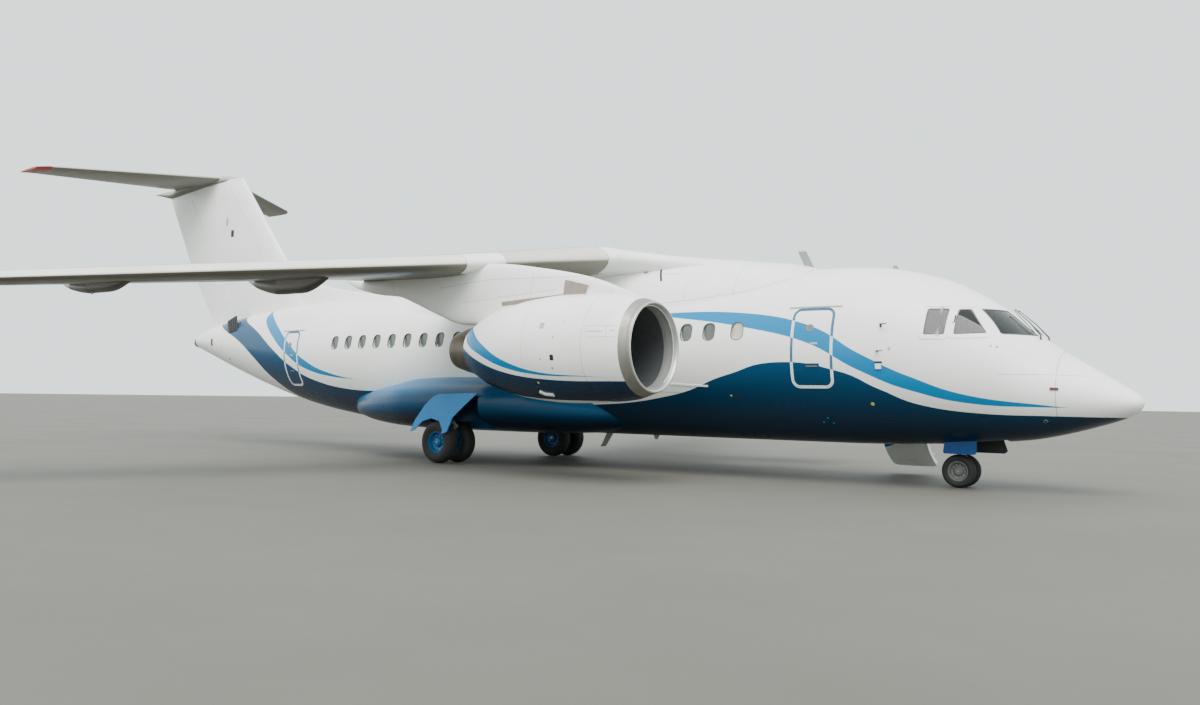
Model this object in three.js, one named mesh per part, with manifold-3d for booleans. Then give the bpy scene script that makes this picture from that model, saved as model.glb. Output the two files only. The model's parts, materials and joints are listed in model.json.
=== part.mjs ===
// Twin-turbofan regional airliner with a high wing and a T-tail, parked on its gear.
// Millimetres. +X runs to the nose, +Y to port, +Z up. The origin is on the ground at mid-length.
// The starboard side is modelled, and the port side is its mirror image.
import * as THREE from 'three';
import { mergeVertices } from 'three/addons/utils/BufferGeometryUtils.js';
import Module from 'manifold-3d';

const wasm = await Module();
wasm.setup();
const RAD = Math.PI / 180;

// Gaps
const SEAT = 0.3;          // between pieces that rest on each other
const PIVOT = 0.4;         // between the faces of a hinge, track or bearing
const CLEAR = 8;           // between moving pieces
const BEARING = 0.8;       // all round an axle in its bore
const FAR = 3000;          // beyond the piece that a box trims

// Fuselage: columns are station x, crown z, keel z and half width
const HULL = [
  [-11700, 3275, 2850, 215],
  [-10800, 3500, 2570, 450],
  [-9500, 3690, 2165, 720],
  [-8000, 3868, 1725, 970],
  [-6500, 3985, 1350, 1220],
  [-5000, 4035, 1070, 1420],
  [-3500, 4054, 880, 1570],
  [-2000, 4060, 729, 1650],
  [-500, 4060, 710, 1675],
  [1000, 4060, 710, 1675],
  [8000, 4060, 710, 1675],
  [9000, 4060, 710, 1675],
  [9600, 4055, 710, 1670],
  [10400, 3992, 723, 1620],
  [11000, 3859, 748, 1560],
  [11500, 3700, 767, 1480],
  [12000, 3437, 799, 1360],
  [12450, 3141, 839, 1240],
  [12900, 2757, 891, 1080],
  [13400, 2386, 1000, 880],
  [13900, 2053, 1149, 640],
  [14300, 1766, 1306, 380],
  [14500, 1611, 1435, 180],
  [14565, 1543, 1523, 14],
];
const HULL_SIDES = 32;
const RADOME_X = 13390;
const NOSE_X = 8790;       // joint between nose and centre sections
const AFT_X = -3000;       // joint between centre and aft sections
const CONE_X = -10400;     // joint between aft section and tail cone
const TAIL_X = -11700;
const TIP_X = 14565;

// Cockpit
const FLOOR_Z = 1620;
const COCKPIT = { rear: 11150, front: 13150, wall: 25, glass: 12, pane: 6, sill: 2560, head: 3200,
  fromRear: 120, fromFront: 60 };
const PANEL = {
  board: [[12380, 2120], [12700, 2120], [12740, 2500], [12700, 2560], [12280, 2600], [12300, 2560],
    [12440, 2530]],
  inset: 25,
  pedestal: [11960, 12620, 190, 2160],
};
// Boxes of a pilot's seat: columns are rear x, front x, half width, bottom z and top z
const SEAT_Y = 520;
const SEAT_BOXES = [
  [11330, 11790, 40, FLOOR_Z + SEAT, 2010],
  [11340, 11830, 240, 2000, 2110],
];
const SEAT_BASE = [11300, 11820, 700, 40];
// Back and head rest: half width, then corners in side view
const SEAT_PLATES = [
  [230, [[11330, 2060], [11440, 2060], [11370, 2720], [11270, 2720]]],
  [130, [[11285, 2700], [11360, 2700], [11350, 2930], [11275, 2930]]],
];
// Side windows as corners in side view, x and z, from the rear top round to the rear bottom
const SIDE_WINDOWS = [
  [[11420, 3112], [11761, 3112], [11729, 2657], [11418, 2657]],
  [[11905, 3105], [12065, 3110], [12368, 2690], [11875, 2676]],
];
// Windscreen half as corners in front view, distance outboard and z
const WINDSCREEN = [[60, 3120], [700, 3112], [925, 2662], [60, 2650]];
const WINDSCREEN_REAR_X = 12130;
const WINDSCREEN_REACH = 1300;
const WINDOW_REACH = [700, 1700];

// Doors: columns are name, side (1 is port), centre x, width, bottom z and top z
const PLUG_DOORS = [
  ['front_service_door', -1, 9520, 800, 1710, 3150],
  ['rear_service_door', -1, -5550, 700, 1720, 3120],
  ['rear_passenger_door', 1, -5550, 700, 1720, 3120],
];
const DOOR_REACH = [500, 2000];    // a cut through one side of the hull, from the middle out
const DOOR_SKIN = 60;
const DOOR_LINE = 5;
const DOOR_CORNER = 130;

// Airstair door, open: it hangs from its sill hinge
const STAIR = { front: 10400, rear: 9500, hingeY: 1512, hingeZ: 1640, low: -26, high: 41, skin: 90,
  open: 150, arcFaces: 10, steps: 6, tread: 250, treadRoot: 20, treadHalf: 16, inset: 60,
  barrel: 24, lug: 40, lugDepth: 110, lugHalf: 20 };
const VESTIBULE = { depthTo: -200, above: 6, top: 3500 };

// Wing: columns are distance outboard, leading edge x, trailing edge x, leading edge z,
// thickness to chord, and nose-up twist in degrees
const WING_ROOT = 1450;
const WING = [
  [WING_ROOT, 5282, 350, 4358, 0.14, 3.0],
  [4900, 3447, 350, 3968, 0.125, 2.4],
  [14250, -1524, -2957, 2912, 0.11, 0.6],
  [14455, -1850, -3030, 2899, 0.05, 0.5],
];
const WING_CAMBER = 0.018;
const CHORD_STEPS = [1, 0.85, 0.65, 0.42, 0.25, 0.13, 0.05, 0.012, 0];

// Flaps: columns are name, inner and outer distance outboard, hinge drop at each end
const FLAP_CHORD = 0.72;
const FLAPS = [
  ['flap_inboard', 1980, 4600, 410, 400],
  ['flap_outboard', 4960, 10300, 330, 205],
];
const FLAP_SWEEP_BACK = 47;   // degrees that a moving fairing is cut back under its hinge
const LUG = { radius: 38, half: 14, reach: 160, slot: 48 };

// Flap track fairings: columns are distance outboard, front x, rear x, deepest z, half width
const TRACK_FAIRINGS = [
  [6350, 2135, -392, 3377, 120],
  [9400, 800, -1560, 3184, 105],
];
// Share of the length from the front, and share of the full depth
const FAIRING_SWELL = [[0, 0.05], [0.1, 0.5], [0.35, 0.98], [0.6, 0.97], [0.85, 0.6], [1, 0.06]];
const FAIRING_CROWN = { rise: 20, least: 0.3 };
const FAIRING_RING = { thin: 0.15, sides: 8, square: 0.75 };

// Shares of the surface's half thickness at its hinge
const HINGE = { nose: 0.97, lip: 0.3, pin: 0.45 };
// Aileron: inner and outer distance outboard, and its hinge as a fraction of the chord
const AILERON = { inner: 10440, outer: 13900, chord: 0.74 };

// Slats: columns are name, inner and outer distance outboard, places of the two tracks
const SLAT_CHORD = 0.13;
const SLAT_GAP = 6;
const SLATS = [
  ['slat_inboard', 1560, 3560, [2000, 3150]],
  ['slat_outboard', 4280, 14000, [5600, 11200]],
];
// A track is an arc about a line under the wing: lengths in millimetres, then its ends in degrees
const SLAT_TRACK = { aft: 60, drop: 620, radius: 600, half: 16, side: 8, around: 7,
  travel: 18, overlap: 7, slack: 0.2, openEnd: 2, rootEnd: 9 };

// Wing and body fairing: columns are station x, half width and crown z
const HUMP = [
  [8980, 1150, 4040],
  [8790, 1290, 4120],
  [8490, 1340, 4190],
  [7385, 1400, 4332],
  [5600, 1460, 4562],
  [3964, 1480, 4769],
  [2400, 1480, 4795],
  [900, 1460, 4640],
  [-500, 1410, 4370],
  [-1700, 1330, 4130],
  [-2300, 1200, 4040],
];
const HUMP_BASE = 2900;

// Engine: centre line, and the cowl's outside as columns of station x and radius
const ENGINE = { y: 4000, z: 2375 };
const COWL_REAR = 3650;
const COWL = [[7600, 800], [7250, 907], [6700, 958], [5900, 980], [5200, 932], [4600, 830], [4100, 690],
  [COWL_REAR, 470]];
const DUCT = [[COWL_REAR, 430], [4200, 600], [5000, 730], [6900, 700], [7600, 716]];
const LIP = { join: 7600, front: 7675, inner: 716, outer: 800, sides: 28 };
const NOZZLE = [[COWL_REAR - SEAT, 466], [3160, 345], [3160, 329], [COWL_REAR - SEAT, 426]];
const CORE = { front: 6500, rear: 4300, radius: 400, shaft: 110, plug: 3300, tip: 20, end: 300, taper: 500,
  bevel: 200, sides: 28, struts: 3, strut: 40, armSpan: [5240, 5960] };
const FAN = { front: 6800, rear: 6620, hub: 190, blades: 16, spinner: 7080, twist: 52,
  rim: 10, swell: 140, swellShare: 0.66, sides: 18 };
// Blade sections: distance from the axis, half chord, half thickness and share of the twist
const BLADE = [[160, 70, 14, 0.35], [684, 96, 8, 1]];

// Pylon: columns are station x, top z, bottom z and half width
const PYLON = [
  [7300, 3290, 3150, 40],
  [6900, 3450, 3000, 110],
  [6308, 3655, 2900, 150],
  [5200, 3880, 2900, 165],
  [4196, 4021, 2880, 170],
  [3650, 4045, 2870, 168],
  [3300, 4060, 2880, 165],
  [2385, 4000, 3160, 150],
  [1940, 3970, 3336, 142],
  [1405, 3930, 3515, 128],
  [900, 3900, 3570, 112],
  [200, 3915, 3725, 80],
  [-207, 3965, 3895, 34],
];

// Fin: columns are height z, leading edge x, trailing edge x, unused height, thickness, twist
const FIN = [
  [3300, -5908, -10885, 0, 0.095, 0],
  [5572, -7794, -12456, 0, 0.09, 0],
  [7860, -9694, -13733, 0, 0.085, 0],
  [8000, -9810, -13811, 0, 0.07, 0],
];
const RUDDER = { inner: 4270, outer: 7560, chord: 0.7 };
// Dorsal fillet ahead of the fin: columns are station x, half width and top z
const DORSAL = [[-2900, 15, 4066], [-4200, 55, 4230], [-5800, 90, 4490], [-6800, 120, 4820],
  [-7700, 150, 5420], [-8300, 120, 5500]];
const DORSAL_BASE = 3700;

// Tailplane, same columns as the wing, and the bullet fairing: station x, half width, top z, bottom z
const TAILPLANE = [
  [0, -10650, -13250, 8080, 0.09, 2],
  [4150, -13120, -14330, 7950, 0.1, 2],
  [4380, -13420, -14520, 7945, 0.05, 2],
];
const ELEVATOR = { inner: 520, outer: 4080, chord: 0.68 };
const BULLET = [
  [-9900, 20, 8020, 7980],
  [-10300, 110, 8100, 7880],
  [-10650, 175, 8170, 7850],
  [-11700, 200, 8190, 7790],
  [-12700, 180, 8120, 7770],
  [-13500, 120, 8020, 7745],
  [-14200, 50, 8000, 7880],
  [-14565, 10, 7985, 7960],
];

// Belly fairing with its wheel pods: columns are station x, half width, top z, bottom z
const BELLY = [
  [-3700, 500, 1250, 1050],
  [-3000, 1250, 1560, 900],
  [-2200, 1720, 1700, 770],
  [-1300, 2050, 1850, 700],
  [-300, 2270, 1990, 680],
  [800, 2320, 2020, 680],
  [2000, 2300, 2010, 680],
  [2900, 2100, 1950, 690],
  [3800, 1700, 1830, 720],
  [4600, 1250, 1650, 800],
  [5200, 800, 1450, 900],
];
const BELLY_SQUARE = 0.72;
// Wheel bay: its inner wall, its ceiling, and its corners in side view
const WHEEL_BAY = { inner: 1560, top: 1490,
  corners: [[880, 1490], [2060, 1490], [2060, 500], [180, 500], [180, 640]] };
// The pipe of the auxiliary power unit stands out behind the tail cone
const APU_PIPE = { rear: -11885, root: -11600, depth: 420, z: 3030, rise: 10, outer: 150, bore: 130,
  throat: 112, sides: 16 };

// Main gear: wheel places, tyre and leg
const MAIN = { x: 977, y: 2040, wheelY: 290, tyre: 465, half: 155, rim: 235, axle: 45 };
// Bars of the main leg: columns are start x, y and z, end x, y and z, and radius, with x and y from the leg
const MAIN_BARS = [
  [0, 0, 900, 0, 0, WHEEL_BAY.top - SEAT, 85],
  [0, 0, 465, 0, 0, 920, 62],
  [0, -62, 465, 0, 62, 465, 88],
  [0, 60, 1000, 0, 350, WHEEL_BAY.top - 40, 38],
  [40, 0, 980, 560, 40, WHEEL_BAY.top - 40, 32],
];
const MAIN_LINK = { half: 40,
  corners: [[60, 640], [240, 800], [240, 840], [60, 980], [60, 940], [190, 820], [60, 700]] };
const MAIN_YOKE = [-20, 70, 42, 600, 720];
// The door leans outward from head to foot, and an arm of the leg stands square on its inner face
const LEG_DOOR = { y: 2360, headZ: 1550, lean: 12, thick: 24, armZ: 1180, arm: 26,
  corners: [[770, 1434], [960, 1525], [2120, 1560], [1800, 1296], [1490, 1010], [1400, 700], [1230, 655],
    [1260, 740], [1120, 930], [860, 990], [610, 920], [390, 710], [270, 675], [370, 940], [600, 1276]] };
// Nose gear
const NOSE = { x: 11640, wheelY: 160, tyre: 295, half: 98, rim: 178, axle: 28,
  turn: 640, bayFront: 12500, bayRear: 11380, bayHalf: 300, bayTop: 1180 };
// Bars of the nose leg, same columns as the main leg
const NOSE_BARS = [
  [0, 0, NOSE.turn, 0, 0, NOSE.bayTop - SEAT, 70],
  [20, 0, 760, 620, 0, NOSE.bayTop - 45, 34],
  [0, -150, 1000, 0, 150, 1000, 40],
];
const STEERED_BARS = [
  [0, 0, NOSE.turn - 60, 0, 0, NOSE.turn - SEAT, 78],
  [0, 0, 295, 0, 0, NOSE.turn - 30, 48],
  [0, -48, 295, 0, 48, 295, 58],
];
const NOSE_LINK = { half: 26,
  corners: [[30, 330], [150, 440], [150, 470], [60, 600], [40, 600], [110, 455], [30, 380]] };
// Nose doors: name, side (1 is port) and corners in side view
const NOSE_DOOR = { y: 352, thick: 16 };
const NOSE_DOORS = [
  ['nose_door_right', -1, [[11467, 1000], [11418, 630], [11440, 604], [11966, 600], [12000, 640],
    [12000, 1000]]],
  ['nose_door_left', 1, [[11467, 1000], [11418, 640], [11440, 612], [12300, 612], [12350, 660],
    [12230, 1000]]],
];
const WHEEL_SIDES = 24;
// Columns are the share of the tyre's depth from the rim, and the share of its half width
const TYRE_PROFILE = [[0, -0.75], [0.45, -1], [0.85, -0.88], [1, -0.5], [1, 0.5], [0.85, 0.88], [0.45, 1],
  [0, 0.75], [0, -0.75]];
const HUB_SIDES = 14;
const AXLE_SIDES = 16;
const PIN_SIDES = 8;
const COVE_SIDES = 16;
const CURVE_STEPS = 3;        // faces in a rounded corner of a plate

// Colours from the photograph
const WHITE = new THREE.MeshStandardMaterial({ color: 0xeceeec, roughness: 0.32, metalness: 0 });
const NAVY = new THREE.MeshStandardMaterial({ color: 0x16497c, roughness: 0.3, metalness: 0 });
const GREY = new THREE.MeshStandardMaterial({ color: 0x8d9196, roughness: 0.4, metalness: 0 });
const SKY = new THREE.MeshStandardMaterial({ color: 0x5aa0cf, roughness: 0.35, metalness: 0 });
const BARE = new THREE.MeshStandardMaterial({ color: 0xc9ccd0, roughness: 0.2, metalness: 1 });
const STEEL = new THREE.MeshStandardMaterial({ color: 0x746a60, roughness: 0.45, metalness: 1 });
const TITAN = new THREE.MeshStandardMaterial({ color: 0x55585c, roughness: 0.4, metalness: 1 });
const ENAMEL = new THREE.MeshStandardMaterial({ color: 0xb9bdc0, roughness: 0.4, metalness: 0 });
const TYRE = new THREE.MeshStandardMaterial({ color: 0x1d1d1f, roughness: 0.85, metalness: 0 });
const TRIM = new THREE.MeshStandardMaterial({ color: 0x3a3d41, roughness: 0.7, metalness: 0 });
const SEATING = new THREE.MeshStandardMaterial({ color: 0x2c3a4c, roughness: 0.9, metalness: 0 });
const GLASS = new THREE.MeshStandardMaterial({ color: 0x222a30, roughness: 0.05, metalness: 0,
  transparent: true, opacity: 0.45 });

// Solids from points and faces

function solidOf(points, faces) {
  let volume = 0;
  for (const [a, b, c] of faces) {
    volume += points[a].dot(new THREE.Vector3().crossVectors(points[b], points[c]));
  }
  const triVerts = new Uint32Array(faces.length * 3);
  faces.forEach(([a, b, c], i) => triVerts.set(volume < 0 ? [a, c, b] : [a, b, c], i * 3));
  const vertProperties = new Float32Array(points.length * 3);
  points.forEach((p, i) => vertProperties.set([p.x, p.y, p.z], i * 3));
  return new wasm.Manifold(new wasm.Mesh({ numProp: 3, vertProperties, triVerts }));
}

function solidFrom(geometry, matrix = new THREE.Matrix4()) {
  const bare = geometry.clone();
  bare.deleteAttribute('normal');
  bare.deleteAttribute('uv');
  const merged = mergeVertices(bare, 1e-3);
  const place = merged.getAttribute('position');
  const points = [];
  for (let i = 0; i < place.count; i++) {
    points.push(new THREE.Vector3().fromBufferAttribute(place, i).applyMatrix4(matrix));
  }
  const index = merged.getIndex().array;
  const faces = [];
  for (let i = 0; i < index.length; i += 3) {
    const face = [index[i], index[i + 1], index[i + 2]];
    if (new Set(face).size === 3) faces.push(face);
  }
  return solidOf(points, faces);
}

// Lids of a loft: the ring is flattened along its normal and cut into triangles
function lid(ring, start, reverse) {
  const normal = new THREE.Vector3();
  ring.forEach((p, i) => normal.add(new THREE.Vector3().crossVectors(p, ring[(i + 1) % ring.length])));
  const u = new THREE.Vector3(0, 0, 1);
  if (Math.abs(normal.z) > 0.9 * normal.length()) u.set(1, 0, 0);
  const v = new THREE.Vector3().crossVectors(normal, u).normalize();
  u.crossVectors(v, normal).normalize();
  const flat = ring.map((p) => new THREE.Vector2(p.dot(u), p.dot(v)));
  const turn = THREE.ShapeUtils.area(flat) > 0;
  return THREE.ShapeUtils.triangulateShape(flat, []).map(([a, b, c]) => {
    const same = THREE.ShapeUtils.area([flat[a], flat[b], flat[c]]) > 0 === turn;
    return same === reverse ? [start + a, start + c, start + b] : [start + a, start + b, start + c];
  });
}

// A body through rings that have the same number of points
function loft(rings) {
  const points = rings.flat();
  const faces = [];
  const count = rings[0].length;
  for (let k = 0; k + 1 < rings.length; k++) {
    for (let i = 0; i < count; i++) {
      const j = (i + 1) % count;
      const here = k * count;
      const next = here + count;
      faces.push([here + i, here + j, next + i], [here + j, next + j, next + i]);
    }
  }
  faces.push(...lid(rings[0], 0, true));
  faces.push(...lid(rings[rings.length - 1], points.length - count, false));
  return solidOf(points, faces);
}

function join(parts) {
  return parts.reduce((whole, part) => whole.add(part));
}

function cut(body, tools) {
  return tools.reduce((whole, tool) => whole.subtract(tool), body);
}

function box(x0, x1, y0, y1, z0, z1, matrix = new THREE.Matrix4()) {
  const geometry = new THREE.BoxGeometry(x1 - x0, y1 - y0, z1 - z0);
  geometry.translate((x0 + x1) / 2, (y0 + y1) / 2, (z0 + z1) / 2);
  return solidFrom(geometry, matrix);
}

// A round bar between two points, with a radius at each end
function bar(from, to, radius, radiusTo = radius, sides = 10) {
  const a = new THREE.Vector3(...from);
  const b = new THREE.Vector3(...to);
  const geometry = new THREE.CylinderGeometry(radiusTo, radius, a.distanceTo(b), sides);
  const way = b.clone().sub(a).normalize();
  geometry.applyQuaternion(new THREE.Quaternion().setFromUnitVectors(new THREE.Vector3(0, 1, 0), way));
  geometry.translate((a.x + b.x) / 2, (a.y + b.y) / 2, (a.z + b.z) / 2);
  return solidFrom(geometry);
}

// A plate from an outline in the x-z plane, between two y values
function platePoints(corners, y0, y1, holes = []) {
  const shape = new THREE.Shape(corners.map(([x, z]) => new THREE.Vector2(x, z)));
  shape.holes.push(...holes);
  return plate(shape, y0, y1);
}

function plate(shape, y0, y1, matrix = new THREE.Matrix4()) {
  const options = { depth: y1 - y0, bevelEnabled: false, curveSegments: CURVE_STEPS };
  const geometry = new THREE.ExtrudeGeometry(shape, options);
  geometry.rotateX(Math.PI / 2);
  geometry.translate(0, y1, 0);
  return solidFrom(geometry, matrix);
}

function roundedOutline(x0, x1, z0, z1, r) {
  const shape = new THREE.Shape();
  shape.absarc(x1 - r, z0 + r, r, -Math.PI / 2, 0);
  shape.absarc(x1 - r, z1 - r, r, 0, Math.PI / 2);
  shape.absarc(x0 + r, z1 - r, r, Math.PI / 2, Math.PI);
  shape.absarc(x0 + r, z0 + r, r, Math.PI, Math.PI * 1.5);
  return shape;
}

// A turned body from columns of station x and radius, about a line along X
function turned(profile, sides, y = 0, z = 0) {
  const geometry = new THREE.LatheGeometry(profile.map(([x, r]) => new THREE.Vector2(r, x)), sides);
  geometry.rotateZ(-Math.PI / 2);
  geometry.rotateX(Math.PI / sides);
  geometry.translate(0, y, z);
  return solidFrom(geometry);
}

// Finished piece: the solid becomes a mesh, mirrored for the port side where asked
function piece(name, solid, material, mirrored = false, home = [0, 0, 0]) {
  const { vertProperties, triVerts } = solid.getMesh();
  const place = new Float32Array(vertProperties.length);
  for (let i = 0; i < place.length; i += 3) {
    place[i] = vertProperties[i] - home[0];
    place[i + 1] = (vertProperties[i + 1] - home[1]) * (mirrored ? -1 : 1);
    place[i + 2] = vertProperties[i + 2] - home[2];
  }
  const order = Array.from(triVerts);
  if (mirrored) {
    for (let i = 0; i < order.length; i += 3) [order[i + 1], order[i + 2]] = [order[i + 2], order[i + 1]];
  }
  const geometry = new THREE.BufferGeometry();
  geometry.setAttribute('position', new THREE.BufferAttribute(place, 3));
  geometry.setIndex(order);
  const mesh = new THREE.Mesh(geometry, material);
  mesh.name = name;
  mesh.position.set(home[0], home[1] * (mirrored ? -1 : 1), home[2]);
  return mesh;
}

// The same solid on both sides
function pair(name, solid, material, home) {
  return [
    piece(`${name}_right`, solid, material, false, home),
    piece(`${name}_left`, solid, material, true, home),
  ];
}

function assembly(name, ...meshes) {
  const group = new THREE.Group();
  group.name = name;
  group.add(...meshes.flat(Infinity));
  return group;
}

// Lifting surfaces

// The rows before and after a span, and the share of the way between them
function rowsAround(rows, span) {
  let k = 0;
  while (k + 2 < rows.length && span > rows[k + 1][0]) k++;
  const [before, after] = [rows[k], rows[k + 1]];
  return { before, after, share: (span - before[0]) / (after[0] - before[0]) };
}

function rowAt(rows, span) {
  const { before, after, share } = rowsAround(rows, span);
  return before.map((value, i) => value + share * (after[i] - value));
}

function halfThickness(u) {
  return 5 * (0.2969 * Math.sqrt(u) - 0.126 * u - 0.3516 * u ** 2 + 0.2843 * u ** 3 - 0.1015 * u ** 4);
}

function camberLine(u, camber) {
  return 4 * camber * u * (1 - u);
}

// A point of a lifting surface, at a fraction of the chord and a height above the chord line
function pointOn(row, u, rise, map) {
  const [span, lead, trail, height, , twist] = row;
  const along = u * (lead - trail);
  const x = lead - along * Math.cos(twist * RAD) + rise * Math.sin(twist * RAD);
  const h = height - along * Math.sin(twist * RAD) + rise * Math.cos(twist * RAD);
  return map(x, span, h);
}

// A value along the chord, on the straight faces between the chord steps
function onFaces(u, value) {
  const k = CHORD_STEPS.findIndex((step) => step <= u);
  const [rear, fore] = [CHORD_STEPS[k - 1], CHORD_STEPS[k]];
  return THREE.MathUtils.lerp(value(fore), value(rear), (u - fore) / (rear - fore));
}

// The point of a surface on its camber line, less a drop
function surfacePoint(rows, span, u, camber, map, drop = 0) {
  const { before, after, share } = rowsAround(rows, span);
  const rise = onFaces(u, (step) => camberLine(step, camber));
  const [a, b] = [before, after].map((row) => pointOn(row, u, rise * (row[1] - row[2]) - drop, map));
  return a.lerp(b, share);
}

function surfaceHalf(rows, span, u) {
  const { before, after, share } = rowsAround(rows, span);
  const [a, b] = [before, after].map((row) => onFaces(u, halfThickness) * row[4] * (row[1] - row[2]));
  return THREE.MathUtils.lerp(a, b, share);
}

function sectionRing(row, camber, grow, map) {
  const chord = row[1] - row[2];
  const edge = (u, sign) => {
    const reach = u === 0 ? -grow / chord : u === 1 ? 1 + grow / chord : u;
    const rise = camberLine(u, camber) * chord + sign * (halfThickness(u) * row[4] * chord + grow);
    return pointOn(row, reach, u === 0 ? 0 : rise, map);
  };
  const upper = CHORD_STEPS.map((u) => edge(u, 1));
  const lower = CHORD_STEPS.slice(0, -1).reverse().map((u) => edge(u, -1));
  return [...upper, ...lower];
}

function surface(rows, camber, map, grow = 0) {
  return loft(rows.map((row) => sectionRing(row, camber, grow, map)));
}

const starboard = (x, span, h) => new THREE.Vector3(x, -span, h);
const upright = (x, span, h) => new THREE.Vector3(x, h, span);

// A frame on a line: local Y along it, local X aft and local Z square to both
function lineFrame(a, b) {
  const y = b.clone().sub(a).normalize();
  const aft = new THREE.Vector3(-1, 0, 0);
  const x = aft.addScaledVector(y, -aft.dot(y)).normalize();
  const z = new THREE.Vector3().crossVectors(x, y);
  const matrix = new THREE.Matrix4().makeBasis(x, y, z).setPosition(a);
  return { matrix, length: a.distanceTo(b), from: a, to: b };
}

function barOn(frame, y0, y1, r0, r1 = r0, sides = 12) {
  const geometry = new THREE.CylinderGeometry(r1, r0, y1 - y0, sides);
  geometry.rotateY(Math.PI / sides);
  geometry.translate(0, (y0 + y1) / 2, 0);
  return solidFrom(geometry, frame.matrix);
}

// A plain control surface with a round nose on its hinge line.
// It gives back the moving part, the fixed part and the hinge pins that the fixed part carries.
function hingedSurface(whole, rows, spec, camber, map) {
  const ends = [spec.inner, spec.outer];
  const place = ends.map((span) => surfacePoint(rows, span, spec.chord, camber, map));
  const skin = ends.map((span) => surfaceHalf(rows, span, spec.chord));
  const nose = skin.map((half) => HINGE.nose * half);
  const cove = skin.map((half) => (half + CLEAR) / Math.cos(Math.PI / COVE_SIDES));
  const frame = lineFrame(...place);
  const { length, matrix } = frame;
  const behind = box(0, FAR, 0, length, -FAR, FAR, matrix);
  const moving = whole.intersect(behind).add(barOn(frame, 0, length, nose[0], nose[1], COVE_SIDES));
  const lip = HINGE.lip * Math.min(...nose);
  const fixed = cut(whole, [
    box(-lip, FAR, -CLEAR, length + CLEAR, -FAR, FAR, matrix),
    barOn(frame, -CLEAR, length + CLEAR, cove[0], cove[1], COVE_SIDES),
  ]);
  const pin = HINGE.pin * Math.min(...nose);
  const pins = [[-2 * CLEAR, -PIVOT], [length + PIVOT, length + 2 * CLEAR]].map(([y0, y1]) =>
    barOn(frame, y0, y1, pin, pin, PIN_SIDES));
  return { moving, fixed: join([fixed, ...pins]), frame };
}

// Fuselage

function hullAt(x) {
  const [, top, bottom, half] = rowAt(HULL, x);
  return { top, bottom, half };
}

function ovalRing(x, half, top, bottom, sides, power = 1) {
  return Array.from({ length: sides }, (_, i) => {
    const a = i * 2 * Math.PI / sides;
    const c = Math.cos(a);
    const s = Math.sin(a);
    const y = half * Math.sign(c) * Math.abs(c) ** power;
    const z = (top + bottom) / 2 + (top - bottom) / 2 * Math.sign(s) * Math.abs(s) ** power;
    return new THREE.Vector3(x, y, z);
  });
}

function hull(x0, x1, grow = 0) {
  const stations = [x0, ...HULL.map((row) => row[0]).filter((x) => x > x0 + 1 && x < x1 - 1), x1];
  return loft(stations.map((x) => {
    const { top, bottom, half } = hullAt(x);
    return ovalRing(x, half + grow, top + grow, bottom - grow, HULL_SIDES);
  }));
}

const bodyTool = hull(TAIL_X, 14400, SEAT);

function doorSolids([name, side, x, width, low, high]) {
  const outline = (grow) => {
    const half = width / 2 + grow;
    return roundedOutline(x - half, x + half, low - grow, high + grow, DOOR_CORNER + grow);
  };
  const span = side > 0 ? DOOR_REACH : DOOR_REACH.map((y) => -y).reverse();
  const skin = hull(x - width, x + width, -DOOR_SKIN);
  const door = hull(x - width, x + width).intersect(plate(outline(0), ...span)).subtract(skin);
  const deeper = hull(x - width, x + width, -DOOR_SKIN - SEAT);
  const pocket = plate(outline(DOOR_LINE), ...span).subtract(deeper);
  return { name, door, pocket, x };
}

const doors = PLUG_DOORS.map(doorSolids);

function pocketsBetween(x0, x1) {
  return doors.filter((d) => d.x > x0 && d.x < x1).map((d) => d.pocket);
}

// Windows: every opening as a prism through the skin, larger or smaller by grow
function windowTools(grow) {
  const swell = (corners) => {
    const cx = corners.reduce((sum, p) => sum + p[0], 0) / corners.length;
    const cz = corners.reduce((sum, p) => sum + p[1], 0) / corners.length;
    return corners.map(([x, z]) => [x + Math.sign(x - cx) * grow, z + Math.sign(z - cz) * grow]);
  };
  const tools = [];
  const [near, far] = WINDOW_REACH;
  for (const corners of SIDE_WINDOWS) {
    tools.push(platePoints(swell(corners), -far, -near), platePoints(swell(corners), near, far));
  }
  for (const side of [-1, 1]) {
    const front = swell(WINDSCREEN).map(([y, z]) => new THREE.Vector2(y * side, z));
    const geometry = new THREE.ExtrudeGeometry(new THREE.Shape(front),
      { depth: WINDSCREEN_REACH, bevelEnabled: false });
    const basis = new THREE.Matrix4().makeBasis(new THREE.Vector3(0, 1, 0), new THREE.Vector3(0, 0, 1),
      new THREE.Vector3(1, 0, 0));
    basis.setPosition(WINDSCREEN_REAR_X, 0, 0);
    tools.push(solidFrom(geometry, basis));
  }
  return tools;
}

function cockpitRoom(grow) {
  const { rear, front, wall } = COCKPIT;
  const shell = hull(rear - grow, front + grow, grow - wall);
  return shell.intersect(box(rear - grow, front + grow, -FAR, FAR, FLOOR_Z, FAR * 2));
}

function vestibule() {
  const { depthTo, above, top } = VESTIBULE;
  const room = roundedOutline(STAIR.rear - CLEAR, STAIR.front + CLEAR, STAIR.hingeZ + above, top,
    DOOR_CORNER + CLEAR);
  return plate(room, depthTo, FAR);
}

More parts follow.
